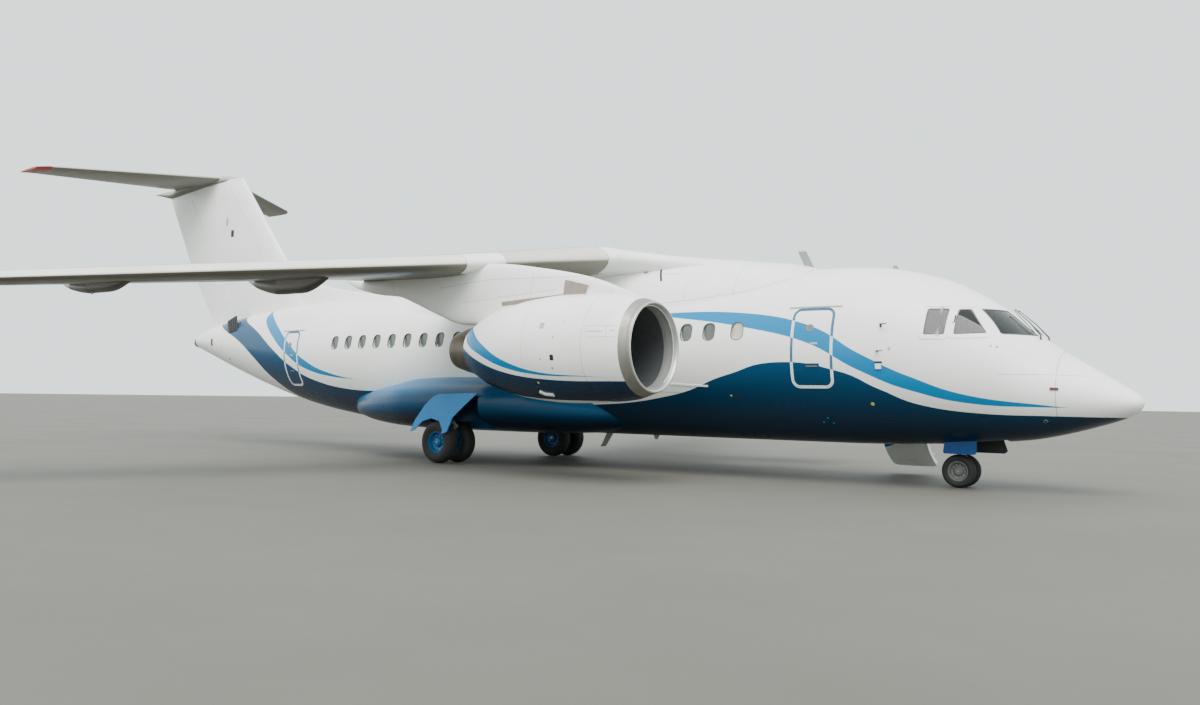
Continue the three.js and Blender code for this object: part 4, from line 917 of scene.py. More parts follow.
@dataclass
class Hull:
    """The fuselage's outer shape, which the other assemblies stand on."""

    # Columns are station x, crown z, keel z and half width
    sections: tuple[tuple[float, float, float, float], ...] = (
        (-11.7, 3.275, 2.850, 0.215), (-10.8, 3.500, 2.570, 0.450), (-9.5, 3.690, 2.165, 0.720),
        (-8.0, 3.868, 1.725, 0.970), (-6.5, 3.985, 1.350, 1.220), (-5.0, 4.035, 1.070, 1.420),
        (-3.5, 4.054, 0.880, 1.570), (-2.0, 4.060, 0.729, 1.650), (-0.5, 4.060, 0.710, 1.675),
        (1.0, 4.060, 0.710, 1.675), (8.0, 4.060, 0.710, 1.675), (9.0, 4.060, 0.710, 1.675),
        (9.6, 4.055, 0.710, 1.670), (10.4, 3.992, 0.723, 1.620), (11.0, 3.859, 0.748, 1.560),
        (11.5, 3.700, 0.767, 1.480), (12.0, 3.437, 0.799, 1.360), (12.45, 3.141, 0.839, 1.240),
        (12.9, 2.757, 0.891, 1.080), (13.4, 2.386, 1.000, 0.880), (13.9, 2.070, 1.145, 0.640),
        (14.3, 1.815, 1.288, 0.400), (14.45, 1.712, 1.372, 0.285), (14.53, 1.638, 1.448, 0.170),
        (14.565, 1.550, 1.520, 0.020),
    )
    sides: int = 128
    step: float = 0.14

    def __post_init__(self) -> None:
        """Fairs the sections."""
        self.fair = Fair(self.sections)

    def ring(self, x: float, grow: float = 0.0) -> Ring:
        """The section at a station."""
        top, bottom, half = self.fair(x)
        return oval(x, half + grow, top + grow, bottom - grow, self.sides)

    def solid(self, x0: float, x1: float, grow: float = 0.0) -> Mould:
        """The body between two stations, larger than the skin by a little where asked."""
        count = max(2, math.ceil((x1 - x0) / self.step) + 1)
        return Mould().loft([self.ring(x, grow) for x in np.linspace(x0, x1, count)])

    def skin(self) -> Skin:
        """The starboard surface by station and height."""
        def point(x: float, z: float) -> Vector:
            """A point of the surface.

            Args:
                x: its station.
                z: its height.

            Returns:
                The point.
            """
            top, bottom, half = self.fair(x)
            rise = (z - (top + bottom) / 2) / ((top - bottom) / 2)
            return Vector((x, -half * math.sqrt(max(0.0, 1 - rise * rise)), z))
        return point

    def around(self) -> Skin:
        """The starboard surface by station and angle in degrees up from level."""
        def point(x: float, angle: float) -> Vector:
            """A point of the surface.

            Args:
                x: its station.
                angle: degrees up from level.

            Returns:
                The point.
            """
            top, bottom, half = self.fair(x)
            a = math.radians(angle)
            return Vector((x, -half * math.cos(a),
                           (top + bottom) / 2 + (top - bottom) / 2 * math.sin(a)))
        return point


HULL = Hull()


@dataclass
class Doors:
    """Plug doors in the nose and aft sections: name, side, middle x, width, sill z, head z."""

    rows: tuple[tuple[str, int, float, float, float, float], ...] = (
        ("front_service_door", -1, 9.475, 0.75, 1.755, 3.15),
        ("rear_service_door", -1, -5.58, 0.64, 1.72, 3.12),
        ("rear_passenger_door", 1, -5.58, 0.64, 1.72, 3.12),
    )
    corner: float = 0.13
    gap: float = 0.006
    skin: float = 0.06
    band: float = 0.022         # width of the painted outline on each side of the gap

    def prism(self, row: tuple, grow: float) -> Mould:
        """A block through the skin with the door's outline.

        Args:
            row: the door's row.
            grow: how much larger than the door it is.

        Returns:
            The block.
        """
        _, side, x, width, low, high = row
        half = width / 2 + grow
        outline = rounded(x - half, x + half, low - grow, high + grow, self.corner + grow)
        near, far = sorted((side * 0.9, side * 2.0))
        return Mould().plate(outline, near, far)

    def pockets(self, x0: float, x1: float) -> list[Step]:
        """The cuts that the doors need in a section, one for each door in it."""
        return [(Way.CUT, self.prism(row, self.gap).worked(
                    (Way.CUT, HULL.solid(row[2] - 1, row[2] + 1, -self.skin - 0.004))))
                for row in self.rows if x0 < row[2] < x1]

    def build(self) -> None:
        """Makes the doors with their outlines, sight glasses, handles, vent flaps and gutters."""
        skin = HULL.skin()
        for row in self.rows:
            name, side, x, width, low, high = row
            shell = carved(HULL.solid(x - 1, x + 1), [
                (Way.KEEP, self.prism(row, 0)),
                (Way.CUT, HULL.solid(x - 1.1, x + 1.1, -self.skin)),
            ])
            settle(shell, f"{name}_skin", Finishes.enamel, stands_for=[name])
            marks = Mould()
            for grow in (-self.band / 2, self.gap + self.band / 2):
                half = width / 2 + grow
                loop = rounded(x - half, x + half, low - grow, high + grow, self.corner + grow, 8)
                marks.strip(skin, [*loop, *loop[:2]], self.band)
            level, eye, vent, head = (low + high) / 2 - 0.33, high - 0.34, high - 0.62, high + 0.045
            fittings = (
                ("outline", Finishes.outline, marks),
                ("sight_rim", Finishes.scuffed, Mould().disc(skin, x - 0.04, eye, 0.080)),
                ("sight_glass", Finishes.pane, Mould().disc(skin, x - 0.04, eye, 0.058, 0.009)),
                ("handle_recess", Finishes.deep,
                 Mould().strip(skin, [(x - 0.13, level), (x + 0.15, level)], 0.10)),
                ("handle", Finishes.scuffed,
                 Mould().strip(skin, [(x - 0.10, level), (x + 0.12, level)], 0.026, 0.014, 0.012)),
                ("vent_flap", Finishes.seam,
                 Mould().strip(skin, [(x - 0.02, vent), (x + 0.12, vent)], 0.035)),
                ("rain_gutter", Finishes.seam,
                 Mould().strip(skin, [(x - 0.50, head), (x + 0.50, head)], 0.024, 0.016, 0.018)),
            )
            for part, finish, made in fittings:
                place(made if side < 0 else made.mirrored(), f"{name}_{part}", finish)


@dataclass
class CabinWindows:
    """The row of cabin windows on each side, let into the skin."""

    z: float = 2.79
    wide: float = 0.27
    tall: float = 0.35
    corner: float = 0.115
    pitch: float = 0.541
    aft: float = -3.57
    count: int = 19
    forward: tuple[float, ...] = (6.854, 7.358, 7.964)
    depth: float = 0.016

    def stations(self) -> list[float]:
        """The middle of each window."""
        return [self.aft + self.pitch * i for i in range(self.count)] + list(self.forward)

    def outline(self, x: float, grow: float, steps: int = 6) -> list[Pair]:
        """A window's outline in side view."""
        return rounded(x - self.wide / 2 - grow, x + self.wide / 2 + grow,
                       self.z - self.tall / 2 - grow, self.z + self.tall / 2 + grow,
                       self.corner + grow, steps)

    def pockets(self, x0: float, x1: float) -> list[Step]:
        """The cuts that the windows need in a section.

        Args:
            x0: where the section starts.
            x1: where it ends.

        Returns:
            One step, with all the windows in one tool.
        """
        tool = Mould()
        for x in self.stations():
            if x0 - self.wide < x < x1 + self.wide:
                for side in (-1, 1):
                    inner = abs(HULL.skin()(x, self.z + self.tall / 2).y) - self.depth
                    near, far = sorted((side * inner, side * 2.0))
                    tool.plate(self.outline(x, 0), near, far)
        return [(Way.CUT, tool)]

    def build(self) -> None:
        """Makes the panes and their rubber seals."""
        panes, blinds, seals = Mould(), Mould(), Mould()
        shaded = self.forward[-1]
        for x in self.stations():
            inner = -abs(HULL.skin()(x, self.z + self.tall / 2).y) + self.depth - 0.001
            target = blinds if x == shaded else panes
            target.plate(self.outline(x, -0.002), inner - 0.006, inner)
            loop = self.outline(x, -0.009, 8)
            seals.strip(HULL.skin(), [*loop, *loop[:2]], 0.018, -0.001, 0.016)
        place(panes, "cabin_panes_right", Finishes.pane, pair=True)
        place(blinds, "cabin_pane_shaded_right", Finishes.blind, pair=True)
        place(seals, "cabin_window_seals_right", Finishes.rubber, pair=True)


@dataclass
class Cockpit:
    """The flight deck: its room, its windows and what shows through them."""

    rear: float = 11.15
    front: float = 13.15
    wall: float = 0.025
    floor: float = 1.62
    corner: float = 0.035
    side_windows: tuple = (
        ((11.423, 3.118), (11.757, 3.118), (11.737, 2.653), (11.407, 2.653)),
        ((11.880, 3.108), (12.062, 3.114), (12.362, 2.678), (11.872, 2.655)),
    )
    windscreen: tuple = ((0.110, 3.120), (0.725, 3.124), (0.925, 2.662), (0.190, 2.655))
    windscreen_rear: float = 12.13
    seat_y: float = 0.52

    def room(self, inset: float = 0.0) -> Mould:
        """The hollow that the crew sits in, smaller by an inset on every side."""
        return HULL.solid(self.rear + inset, self.front - inset, -self.wall - inset).worked(
            (Way.KEEP, Mould().box((self.rear, -FAR, self.floor + inset),
                                   (self.front, FAR, 2 * FAR))))

    def swelled(self, corners: Sequence[Pair], grow: float) -> list[Pair]:
        """A window's corners, moved outward.

        Args:
            corners: the corners.
            grow: how far each side moves.

        Returns:
            The new corners.
        """
        cx = sum(p[0] for p in corners) / len(corners)
        cz = sum(p[1] for p in corners) / len(corners)
        return [(x + grow * math.copysign(1, x - cx), z + grow * math.copysign(1, z - cz))
                for x, z in corners]

    def openings(self, grow: float) -> list[Mould]:
        """A block through the skin for each window.

        Args:
            grow: how much larger than the opening it is.

        Returns:
            The blocks, two for each row.
        """
        tools = []
        for corners in self.side_windows:
            outline = softened(self.swelled(corners, grow), self.corner)
            block = Mould().plate(outline, -1.7, -0.7)
            tools += [block, block.mirrored()]
        outline = softened(self.swelled(self.windscreen, grow), self.corner)
        half = [(-y, z) for y, z in outline]
        block = Mould().plate(half, self.windscreen_rear, self.windscreen_rear + 1.3, "x")
        return [*tools, block, block.mirrored()]

    def glaze(self) -> None:
        """Makes the panes, their rubber and their bright frames."""
        outer, shell = (HULL.solid(self.rear, self.front, grow) for grow in (-0.007, -0.003))
        within, behind = (HULL.solid(11.1, 13.2, grow) for grow in (-0.020, -0.024))
        panes, seals, frames = Mould(), Mould(), Mould()
        for wide, narrow in zip(self.openings(-0.002), self.openings(-0.020)):
            panes.add(outer.worked((Way.KEEP, wide), (Way.CUT, within)))
            seals.add(shell.worked((Way.KEEP, wide), (Way.CUT, narrow), (Way.CUT, behind)))
        for corners in self.side_windows:
            loop = softened(self.swelled(corners, 0.050), 0.06)
            frames.strip(HULL.skin(), [*loop, *loop[:2]], 0.055, 0.009, 0.012)
        place(frames, "cockpit_window_frames_right", Finishes.white, pair=True)
        place(panes, "cockpit_panes", Finishes.glass, stands_for=["cockpit_glazing"])
        place(seals, "cockpit_window_seals", Finishes.rubber)

    def furnish(self) -> None:
        """Makes the lining, the seats, the wipers and the shades, and dresses the panel."""
        near, far = 0.0005, 0.006
        lining = carved(self.room(near), [(Way.CUT, tool)
                                          for tool in (self.room(far), *self.openings(0))])
        settle(lining, "cockpit_lining", Finishes.moulded)
        panel = frame["nodes"]["instrument_panel"].data.materials
        panel.clear()
        panel.append(Finishes.moulded.material())
        for name, side in (("right", -1), ("left", 1)):
            self.seat(name, side * self.seat_y)
            self.wiper(name, side)
        self.shades()

    def wiper(self, name: str, side: int) -> None:
        """Makes one wiper: its arm, its blade and the foot of the blade.

        Args:
            name: right or left.
            side: -1 to starboard and 1 to port.
        """
        foot = Vector((13.05, side * 0.32, 2.59))
        tip = Vector((12.60, side * 0.13, 3.13))
        above, across = Vector((0.03, 0, 0.035)), Vector((0, side * 0.03, 0))
        arm = Mould().tube([foot, foot.lerp(tip, 0.08) + above, foot.lerp(tip, 0.5) + above, tip],
                           [0.020, 0.013, 0.009, 0.006])
        arm.tube([foot.lerp(tip, 0.22), foot.lerp(tip, 1.02) - above / 2], [0.008, 0.006], 6)
        arm.tube([tip + across, tip - across], 0.012, 8)
        place(arm, f"wiper_{name}", Finishes.black)

    def shades(self) -> None:
        """Makes the pleated shade inside the rearmost window on each side."""
        pitch, fold, thick, lean, middle = 0.012, 0.011, 0.003, 0.56, 2.9
        pleats = [(11.43 + pitch * i, -1.245 + fold * (-1) ** i) for i in range(20)]
        slope = Matrix(((1, 0, 0, 0), (0, 1, lean, -lean * middle), (0, 0, 1, 0), (0, 0, 0, 1)))
        outline = [*pleats, *[(x, y + thick) for x, y in reversed(pleats)]]
        shade = Mould().plate(outline, 2.62, 3.16, "z", slope)
        place(shade, "cockpit_shade_right", Finishes.blind, pair=True)

    def seat(self, name: str, y: float) -> None:
        """Makes one pilot's seat from padded cushions on a frame.

        Args:
            name: right or left.
            y: its middle.
        """
        stand = Mould().box((11.33, y - 0.04, 1.67), (11.79, y + 0.04, 2.0))
        stand.box((11.30, y - 0.19, self.floor + SEAT), (11.82, y + 0.19, 1.66))
        stand.box((11.28, y - 0.21, 2.02), (11.30, y + 0.21, 2.68))
        place(stand, f"seat_frame_{name}", Finishes.epoxy,
              stands_for=["pilot_seats"] if name == "right" else ())
        pads = (
            ("cushion", (11.585, y, 2.055), (0.245, 0.24, 0.055), 0.0, Finishes.webbing),
            ("back", (11.375, y, 2.39), (0.05, 0.23, 0.33), -5.2, Finishes.fleece),
            ("headrest", (11.315, y, 2.81), (0.04, 0.13, 0.115), -3.0, Finishes.fleece),
        )
        for part, *shape in pads:
            cushion(f"seat_{part}_{name}", *shape)


def cushion(name: str, middle: Triple, half: Triple, lean: float, finish: Finish) -> Thing:
    """A crowned pad whose sides pull in between its corners.

    Args:
        name: its name.
        middle: its middle.
        half: its half sizes.
        lean: how far it leans about Y, in degrees.
        finish: its cover.

    Returns:
        The pad.
    """
    work = bmesh.new()
    bmesh.ops.create_cube(work, size=2.0)
    bmesh.ops.subdivide_edges(work, edges=work.edges, cuts=7, use_grid_fill=True)
    turn = Matrix.Rotation(math.radians(lean), 4, "Y")
    for vert in work.verts:
        u, v, w = vert.co
        crown = (1 - u**4) * (1 - v**4) * (1 - w**4)
        bulge = [1 - 0.10 * (a * a) * (b * b) for a, b in ((v, w), (u, w), (u, v))]
        place_at = Vector((u * half[0] * bulge[0], v * half[1] * bulge[1], w * half[2] * bulge[2]))
        vert.co = Vector(middle) + turn @ (place_at * (0.97 + 0.02 * crown))
    mesh = bpy.data.meshes.new(name)
    work.to_mesh(mesh)
    work.free()
    made = bpy.data.objects.new(name, mesh)
    bpy.context.scene.collection.objects.link(made)
    smooth = made.modifiers.new("soft", "SUBSURF")
    smooth.levels = smooth.render_levels = 1
    baked(made)
    return settle(made, name, finish, angle=180)


@dataclass
class Fuselage:
    """The skins of the fuselage, split where the real sections meet."""

    radome: float = 13.39
    nose: float = 8.79
    aft: float = -3.0
    cone: float = -10.4
    tail: float = -11.7
    tip: float = 14.565
    pipe: float = -11.885
    doors: Doors = field(default_factory=Doors)
    windows: CabinWindows = field(default_factory=CabinWindows)
    cockpit: Cockpit = field(default_factory=Cockpit)

    def build(self) -> None:
        """Makes every piece of the fuselage."""
        self.radome_skin()
        self.nose_skin()
        centre = carved(HULL.solid(self.aft + SEAT, self.nose),
                        self.windows.pockets(self.aft, self.nose))
        settle(centre, "fuselage_centre_skin", Finishes.enamel, stands_for=["fuselage_centre"])
        aft = carved(HULL.solid(self.cone + SEAT, self.aft),
                     self.doors.pockets(self.cone, self.aft) + self.windows.pockets(-9, self.aft))
        settle(aft, "fuselage_aft_skin", Finishes.enamel, stands_for=["fuselage_aft"])
        self.tail_cone()
        self.doors.build()
        self.windows.build()
        self.cockpit.glaze()
        self.cockpit.furnish()

    def radome_skin(self) -> None:
        """Makes the radome, with close stations round its blunt tip."""
        base = self.radome + SEAT
        reach = self.tip - base
        rings = []
        for i in range(40):
            x = base + reach * math.sin(math.pi / 2 * i / 39)
            rings.append(HULL.ring(x))
        place(Mould().loft(rings), "radome_shell", Finishes.enamel, stands_for=["radome"])

    def nose_skin(self) -> None:
        """Makes the nose with its windows, entrance and nose-wheel bay cut out."""
        start, end = self.nose + SEAT, self.radome - SEAT
        gear, stair = NoseGear(), Airstair()
        bay = Mould().box((gear.bay_rear, -gear.bay_half, 0),
                          (gear.bay_front, gear.bay_half, gear.bay_top))
        tools = [self.cockpit.room(), *self.cockpit.openings(0), stair.entrance(),
                 stair.pin(CLEAR), bay]
        skin = carved(HULL.solid(start, end), [
            *((Way.CUT, tool) for tool in tools), *self.doors.pockets(self.nose, self.radome)])
        settle(skin, "fuselage_nose_skin", Finishes.enamel, stands_for=["fuselage_nose"])

    def tail_cone(self) -> None:
        """Makes the tail cone with its exhaust pipe."""
        bore = Mould().bar((self.tail - 0.02, 0, 3.03), (self.tail + 0.26, 0, 3.03), 0.1505,
                           sides=48)
        cone = carved(HULL.solid(self.tail, self.cone), [(Way.CUT, bore)])
        settle(cone, "tail_cone_skin", Finishes.enamel, stands_for=["tail_cone"])
        pipe = Mould().turned([(0.010, 0.150), (0.44, 0.150), (0.44, 0.112), (0.0, 0.132),
                               (0.0, 0.146)], 48, (self.pipe, 0, 3.03))
        place(pipe, "tail_exhaust_pipe", Finishes.steel)


# Lifting surfaces


@dataclass
class Aerofoil:
    """A tapered surface through a few sections.

    Columns are distance outboard or up, leading edge x, trailing edge x, leading edge height,
    thickness to chord, and nose-up twist in degrees.
    """

    rows: tuple[tuple[float, float, float, float, float, float], ...]
    camber: float = 0.0
    upright: bool = False
    steps: int = 26

    def point(self, row: Sequence[float], u: float, rise: float) -> Vector:
        """A point of a section.

        Args:
            row: the section's row.
            u: the share of the chord.
            rise: the height over the chord line.

        Returns:
            The point.
        """
        span, lead, trail, height, _, twist = row
        along, turn = u * (lead - trail), math.radians(twist)
        x = lead - along * math.cos(turn) + rise * math.sin(turn)
        h = height - along * math.sin(turn) + rise * math.cos(turn)
        return Vector((x, h, span)) if self.upright else Vector((x, -span, h))

    def rise(self, row: Sequence[float], u: float, face: float) -> float:
        """The height of the upper or lower face over the chord line.

        Args:
            row: the section's row.
            u: the share of the chord.
            face: 1 above, -1 below and 0 for the camber line.

        Returns:
            The height.
        """
        chord = row[1] - row[2]
        thick = 5 * (0.2969 * math.sqrt(max(u, 0)) - 0.126 * u - 0.3516 * u**2 + 0.2843 * u**3
                     - 0.1015 * u**4)
        return (4 * self.camber * u * (1 - u) + face * thick * row[4]) * chord

    def ring(self, row: Sequence[float], grow: float = 0.0) -> Ring:
        """The section's outline.

        Args:
            row: the section's row.
            grow: how much larger than the skin it is.

        Returns:
            The ring, from the trailing edge over the top.
        """
        ring = []
        for i in range(2 * self.steps):
            a = math.pi * (i + 0.5) / self.steps
            u = (1 + math.cos(a)) / 2
            face = 1 if a < math.pi else -1
            reach = u + grow / (row[1] - row[2]) * math.cos(a)
            ring.append(self.point(row, reach, self.rise(row, u, face) + face * grow))
        return ring

    def at(self, span: float) -> list[float]:
        """The section between two rows.

        Args:
            span: how far out.

        Returns:
            The row there.
        """
        k = 0
        while k + 2 < len(self.rows) and span > self.rows[k + 1][0]:
            k += 1
        a, b = self.rows[k], self.rows[k + 1]
        t = (span - a[0]) / (b[0] - a[0])
        return [p + t * (q - p) for p, q in zip(a, b)]

    def on(self, span: float, u: float, face: float, drop: float = 0.0) -> Vector:
        """A point of the surface."""
        row = self.at(span)
        return self.point(row, u, self.rise(row, u, face) - drop)

    def skin(self, face: float) -> Skin:
        """The upper or lower skin by distance outboard and share of the chord."""
        return lambda span, u: self.on(span, u, face)

    def solid(self, grow: float = 0.0) -> Mould:
        """The whole surface as a closed mould."""
        return Mould().loft([self.ring(row, grow) for row in self.rows])


@dataclass
class HingeLine:
    """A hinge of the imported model: local Y along it, X aft and Z square to both."""

    joint: str
    inner: float
    outer: float
    upright: bool = False

    def __post_init__(self) -> None:
        """Reads the axis from the frame and turns it outward."""
        found = next(j for j in frame["joints"] if j["name"] == self.joint)
        along = Vector(found["axis"]).normalized()
        outward = along.z if self.upright else -along.y
        if outward < 0:
            along.negate()
            outward = -outward
        aft = Vector((-1, 0, 0))
        across = (aft - along * aft.dot(along)).normalized()
        self.axes = (across, along, across.cross(along))
        self.origin = Vector(found["pos_m"])
        self.length = (self.outer - self.inner) / outward

    def matrix(self) -> Matrix:
        """The line's own frame."""
        turned = Matrix(self.axes).transposed().to_4x4()
        return Matrix.Translation(self.origin) @ turned

    def bar(self, y0: float, y1: float, radius: float, end: float | None = None,
            sides: int = 40) -> Mould:
        """A bar along the line."""
        start, stop = (self.matrix() @ Vector((0, y, 0)) for y in (y0, y1))
        return Mould().bar(start, stop, radius, end, sides)

    def box(self, x0: float, x1: float, grow: float, turn: float = 0.0) -> Mould:
        """A box over the line's whole length."""
        place_at = self.matrix() @ Matrix.Rotation(math.radians(turn), 4, "Y")
        return Mould().box((x0, -grow, -FAR), (x1, self.length + grow, FAR), place_at)


def hinged(whole: Mould, foil: Aerofoil, line: HingeLine,
           chord: float) -> tuple[Mould, list[Step]]:
    """Splits a plain control surface off with a round nose on its hinge.

    Args:
        whole: the surface that it is part of.
        foil: that surface's shape.
        line: the hinge.
        chord: where the hinge lies along the chord.

    Returns:
        The moving piece, and the steps that make room for it in the fixed one.
    """
    skin = []
    for span in (line.inner, line.outer):
        row = foil.at(span)
        skin.append(foil.rise(row, chord, 1) - foil.rise(row, chord, 0))
    nose = [0.965 * half for half in skin]
    cove = [half + CLEAR + 0.002 for half in skin]
    moving = whole.worked((Way.KEEP, line.box(0, FAR, 0)),
                          (Way.JOIN, line.bar(0.0005, line.length - 0.0005, *nose)))
    lip, pin = 0.3 * min(nose), 0.45 * min(nose)
    steps = [
        (Way.CUT, line.box(-lip, FAR, CLEAR)),
        (Way.CUT, line.bar(-CLEAR, line.length + CLEAR, *cove)),
        (Way.JOIN, line.bar(-2 * CLEAR, -PIVOT, pin)),
        (Way.JOIN, line.bar(line.length + PIVOT, line.length + 2 * CLEAR, pin)),
    ]
    return moving, steps


@dataclass
class Wing:
    """One wing with its control surfaces, made to starboard and mirrored."""

    foil: Aerofoil = field(default_factory=lambda: Aerofoil((
        (1.45, 5.282, 0.350, 4.358, 0.14, 3.0),
        (4.90, 3.447, 0.350, 3.968, 0.125, 2.4),
        (14.25, -1.524, -2.957, 2.912, 0.11, 0.6),
        (14.455, -1.850, -3.030, 2.899, 0.05, 0.5),
    ), 0.018))
    aileron: Triple = (10.44, 13.90, 0.74)
    flaps: tuple = (("flap_inboard", 1.98, 4.60), ("flap_outboard", 4.96, 10.30))
    sweep_back: float = 47.0
    # Columns are distance outboard, front x, rear x, deepest z and half width
    fairings: tuple = ((6.35, 2.135, -0.392, 3.377, 0.120), (9.40, 0.80, -1.56, 3.184, 0.105))
    lug: tuple[float, float, float, float] = (0.038, 0.014, 0.160, 0.048)
    slats: tuple = (("slat_inboard", 1.56, 3.56, Finishes.taupe_slat),
                    ("slat_outboard", 4.28, 14.00, Finishes.pale))
    # A slat's rear face lies this far aft of its track's axis and above it
    slat_back: float = -0.060
    slat_up: float = 0.620
    slat_gap: float = 0.006
    # The white fixed leading edge beside the slats lies between these distances outboard
    fixed_edges: Pair = (1.4505, 4.60)
    # The lamp at the tip: points of its middle line, each with a radius
    lamp: tuple = (((-1.56, -14.36, 2.905), 0.004), ((-1.58, -14.38, 2.905), 0.022),
                   ((-1.68, -14.42, 2.903), 0.028), ((-1.80, -14.44, 2.902), 0.020),
                   ((-1.86, -14.445, 2.90), 0.004))

    def build(self) -> None:
        """Makes the wing, its moving pieces and the pylon."""
        whole = self.foil.solid()
        inner, outer, chord = self.aileron
        line = HingeLine("aileron_hinge_right", inner, outer)
        moving, steps = hinged(whole, self.foil, line, chord)
        place(moving, "aileron_right_skin", Finishes.satin, "aileron_right", ["aileron_right"],
              pair=True)
        pylon = Pylon()
        strut = pylon.solid()
        strut_steps: list[Step] = []
        pods = [self.pod(*row) for row in self.fairings]
        for name, inner, outer in self.flaps:
            hinge = HingeLine(f"{name}_hinge_right", inner, outer)
            inboard = name == "flap_inboard"
            self.flap(name, hinge, whole, [strut] if inboard else pods,
                      [pylon.y] if inboard else [row[0] for row in self.fairings])
            room = (Way.CUT, hinge.box(-CLEAR, FAR, CLEAR))
            steps.append(room)
            if inboard:
                strut_steps += [room, (Way.JOIN, self.hook(hinge, pylon.y))]
            else:
                for pod, row in zip(pods, self.fairings):
                    front = pod.worked(room, (Way.JOIN, self.hook(hinge, row[0])))
                    steps.append((Way.JOIN, front))
        tracks, rooms = self.build_slats(whole)
        place(whole.worked(*steps, *rooms), "wing_right_skin", Finishes.satin,
              stands_for=["wing_right"], pair=True)
        inner, outer = self.fixed_edges
        edges = Mould().box((2.0, -outer, 2.0), (6.0, -inner, 6.0)).worked(
            (Way.KEEP, self.foil.solid(0.0008)), (Way.CUT, tracks[-1].box(0, 2 * FAR, 4.0)), *rooms)
        place(edges, "wing_fixed_edges_right", Finishes.white, pair=True)
        lamp = Mould().tube(*zip(*self.lamp))
        place(lamp, "wing_lamp_right", Finishes.green_lamp)
        place(lamp.mirrored(), "wing_lamp_left", Finishes.red_lamp)
        pylon.build(strut, strut_steps, self.foil)

    def build_slats(self, whole: Mould) -> tuple[list[HingeLine], list[Step]]:
        """Makes the slats.

        Args:
            whole: the wing that they are part of.

        Returns:
            Their tracks, and the steps that make room for them in the wing.
        """
        tracks, rooms = [], []
        for name, inner, outer, finish in self.slats:
            track = HingeLine(f"{name}_track_right", inner, outer)
            track.origin += track.axes[0] * self.slat_back + track.axes[2] * self.slat_up
            place(whole.worked((Way.KEEP, track.box(-FAR, 0, 0))), f"{name}_right_skin", finish,
                  f"{name}_right", [f"{name}_right"], pair=True)
            tracks.append(track)
            rooms.append((Way.CUT, track.box(-FAR, self.slat_gap, CLEAR)))
        return tracks, rooms

    def along(self, line: HingeLine, span: float) -> float:
        """How far along a line a distance outboard lies."""
        return (-span - line.origin.y) / line.axes[1].y

    def hook(self, line: HingeLine, span: float) -> Mould:
        """The lug that carries a flap.

        Args:
            line: the flap's hinge.
            span: how far outboard it is.

        Returns:
            The lug.
        """
        radius, half, reach, _ = self.lug
        y = self.along(line, span)
        arm = Mould().box((-reach, y - half, -radius), (0, y + half, radius), line.matrix())
        return arm.worked((Way.JOIN, line.bar(y - half, y + half, radius * 1.001)))

    def flap(self, name: str, line: HingeLine, whole: Mould, bodies: Sequence[Mould],
             spans: Sequence[float]) -> None:
        """Makes one flap with the moving ends of its fairings.

        Args:
            name: the flap's name.
            line: its hinge.
            whole: the wing that it is part of.
            bodies: the fairings that move with it.
            spans: where they are.
        """
        behind = line.box(0, FAR, 0).worked(
            (Way.KEEP, line.box(0, 2 * FAR, CLEAR, -self.sweep_back)))
        steps = [(Way.KEEP, behind)]
        _, half, _, slot = self.lug
        for span in spans:
            y = self.along(line, span)
            steps.append((Way.CUT, line.bar(y - half - PIVOT, y + half + PIVOT, slot)))
        tails = Mould()
        for body in bodies:
            tails.add(body.worked(*steps))
        finish = Finishes.white if name == "flap_inboard" else Finishes.pod
        place(tails, f"{name}_fairings_right", finish, f"{name}_right", pair=True)
        place(whole.worked(*steps), f"{name}_right_skin", Finishes.satin, f"{name}_right",
              [f"{name}_right"], pair=True)

    def pod(self, span: float, front: float, rear: float, deep: float, half: float) -> Mould:
        """The fairing over a flap track.

        Args:
            span: how far outboard it is.
            front: where it starts.
            rear: where it ends.
            deep: its lowest z.
            half: its half width.

        Returns:
            The closed fairing.
        """
        swell = Fair(((0, 0.05), (0.1, 0.5), (0.35, 0.98), (0.6, 0.97), (0.85, 0.6), (1, 0.06)))
        row = self.foil.at(span)
        rings = []
        for t in np.linspace(0, 1, 25):
            x, full = front + t * (rear - front), swell.first(t)
            u = min((row[1] - x) / (row[1] - row[2]), 1)
            spine = self.foil.point(row, u, 0).z
            rings.append(oval(x, half * (0.15 + 0.85 * full), spine + 0.02 * (full + 0.3),
                              spine - (spine - deep) * full, 28, 0.8, -span))
        return Mould().loft(rings)


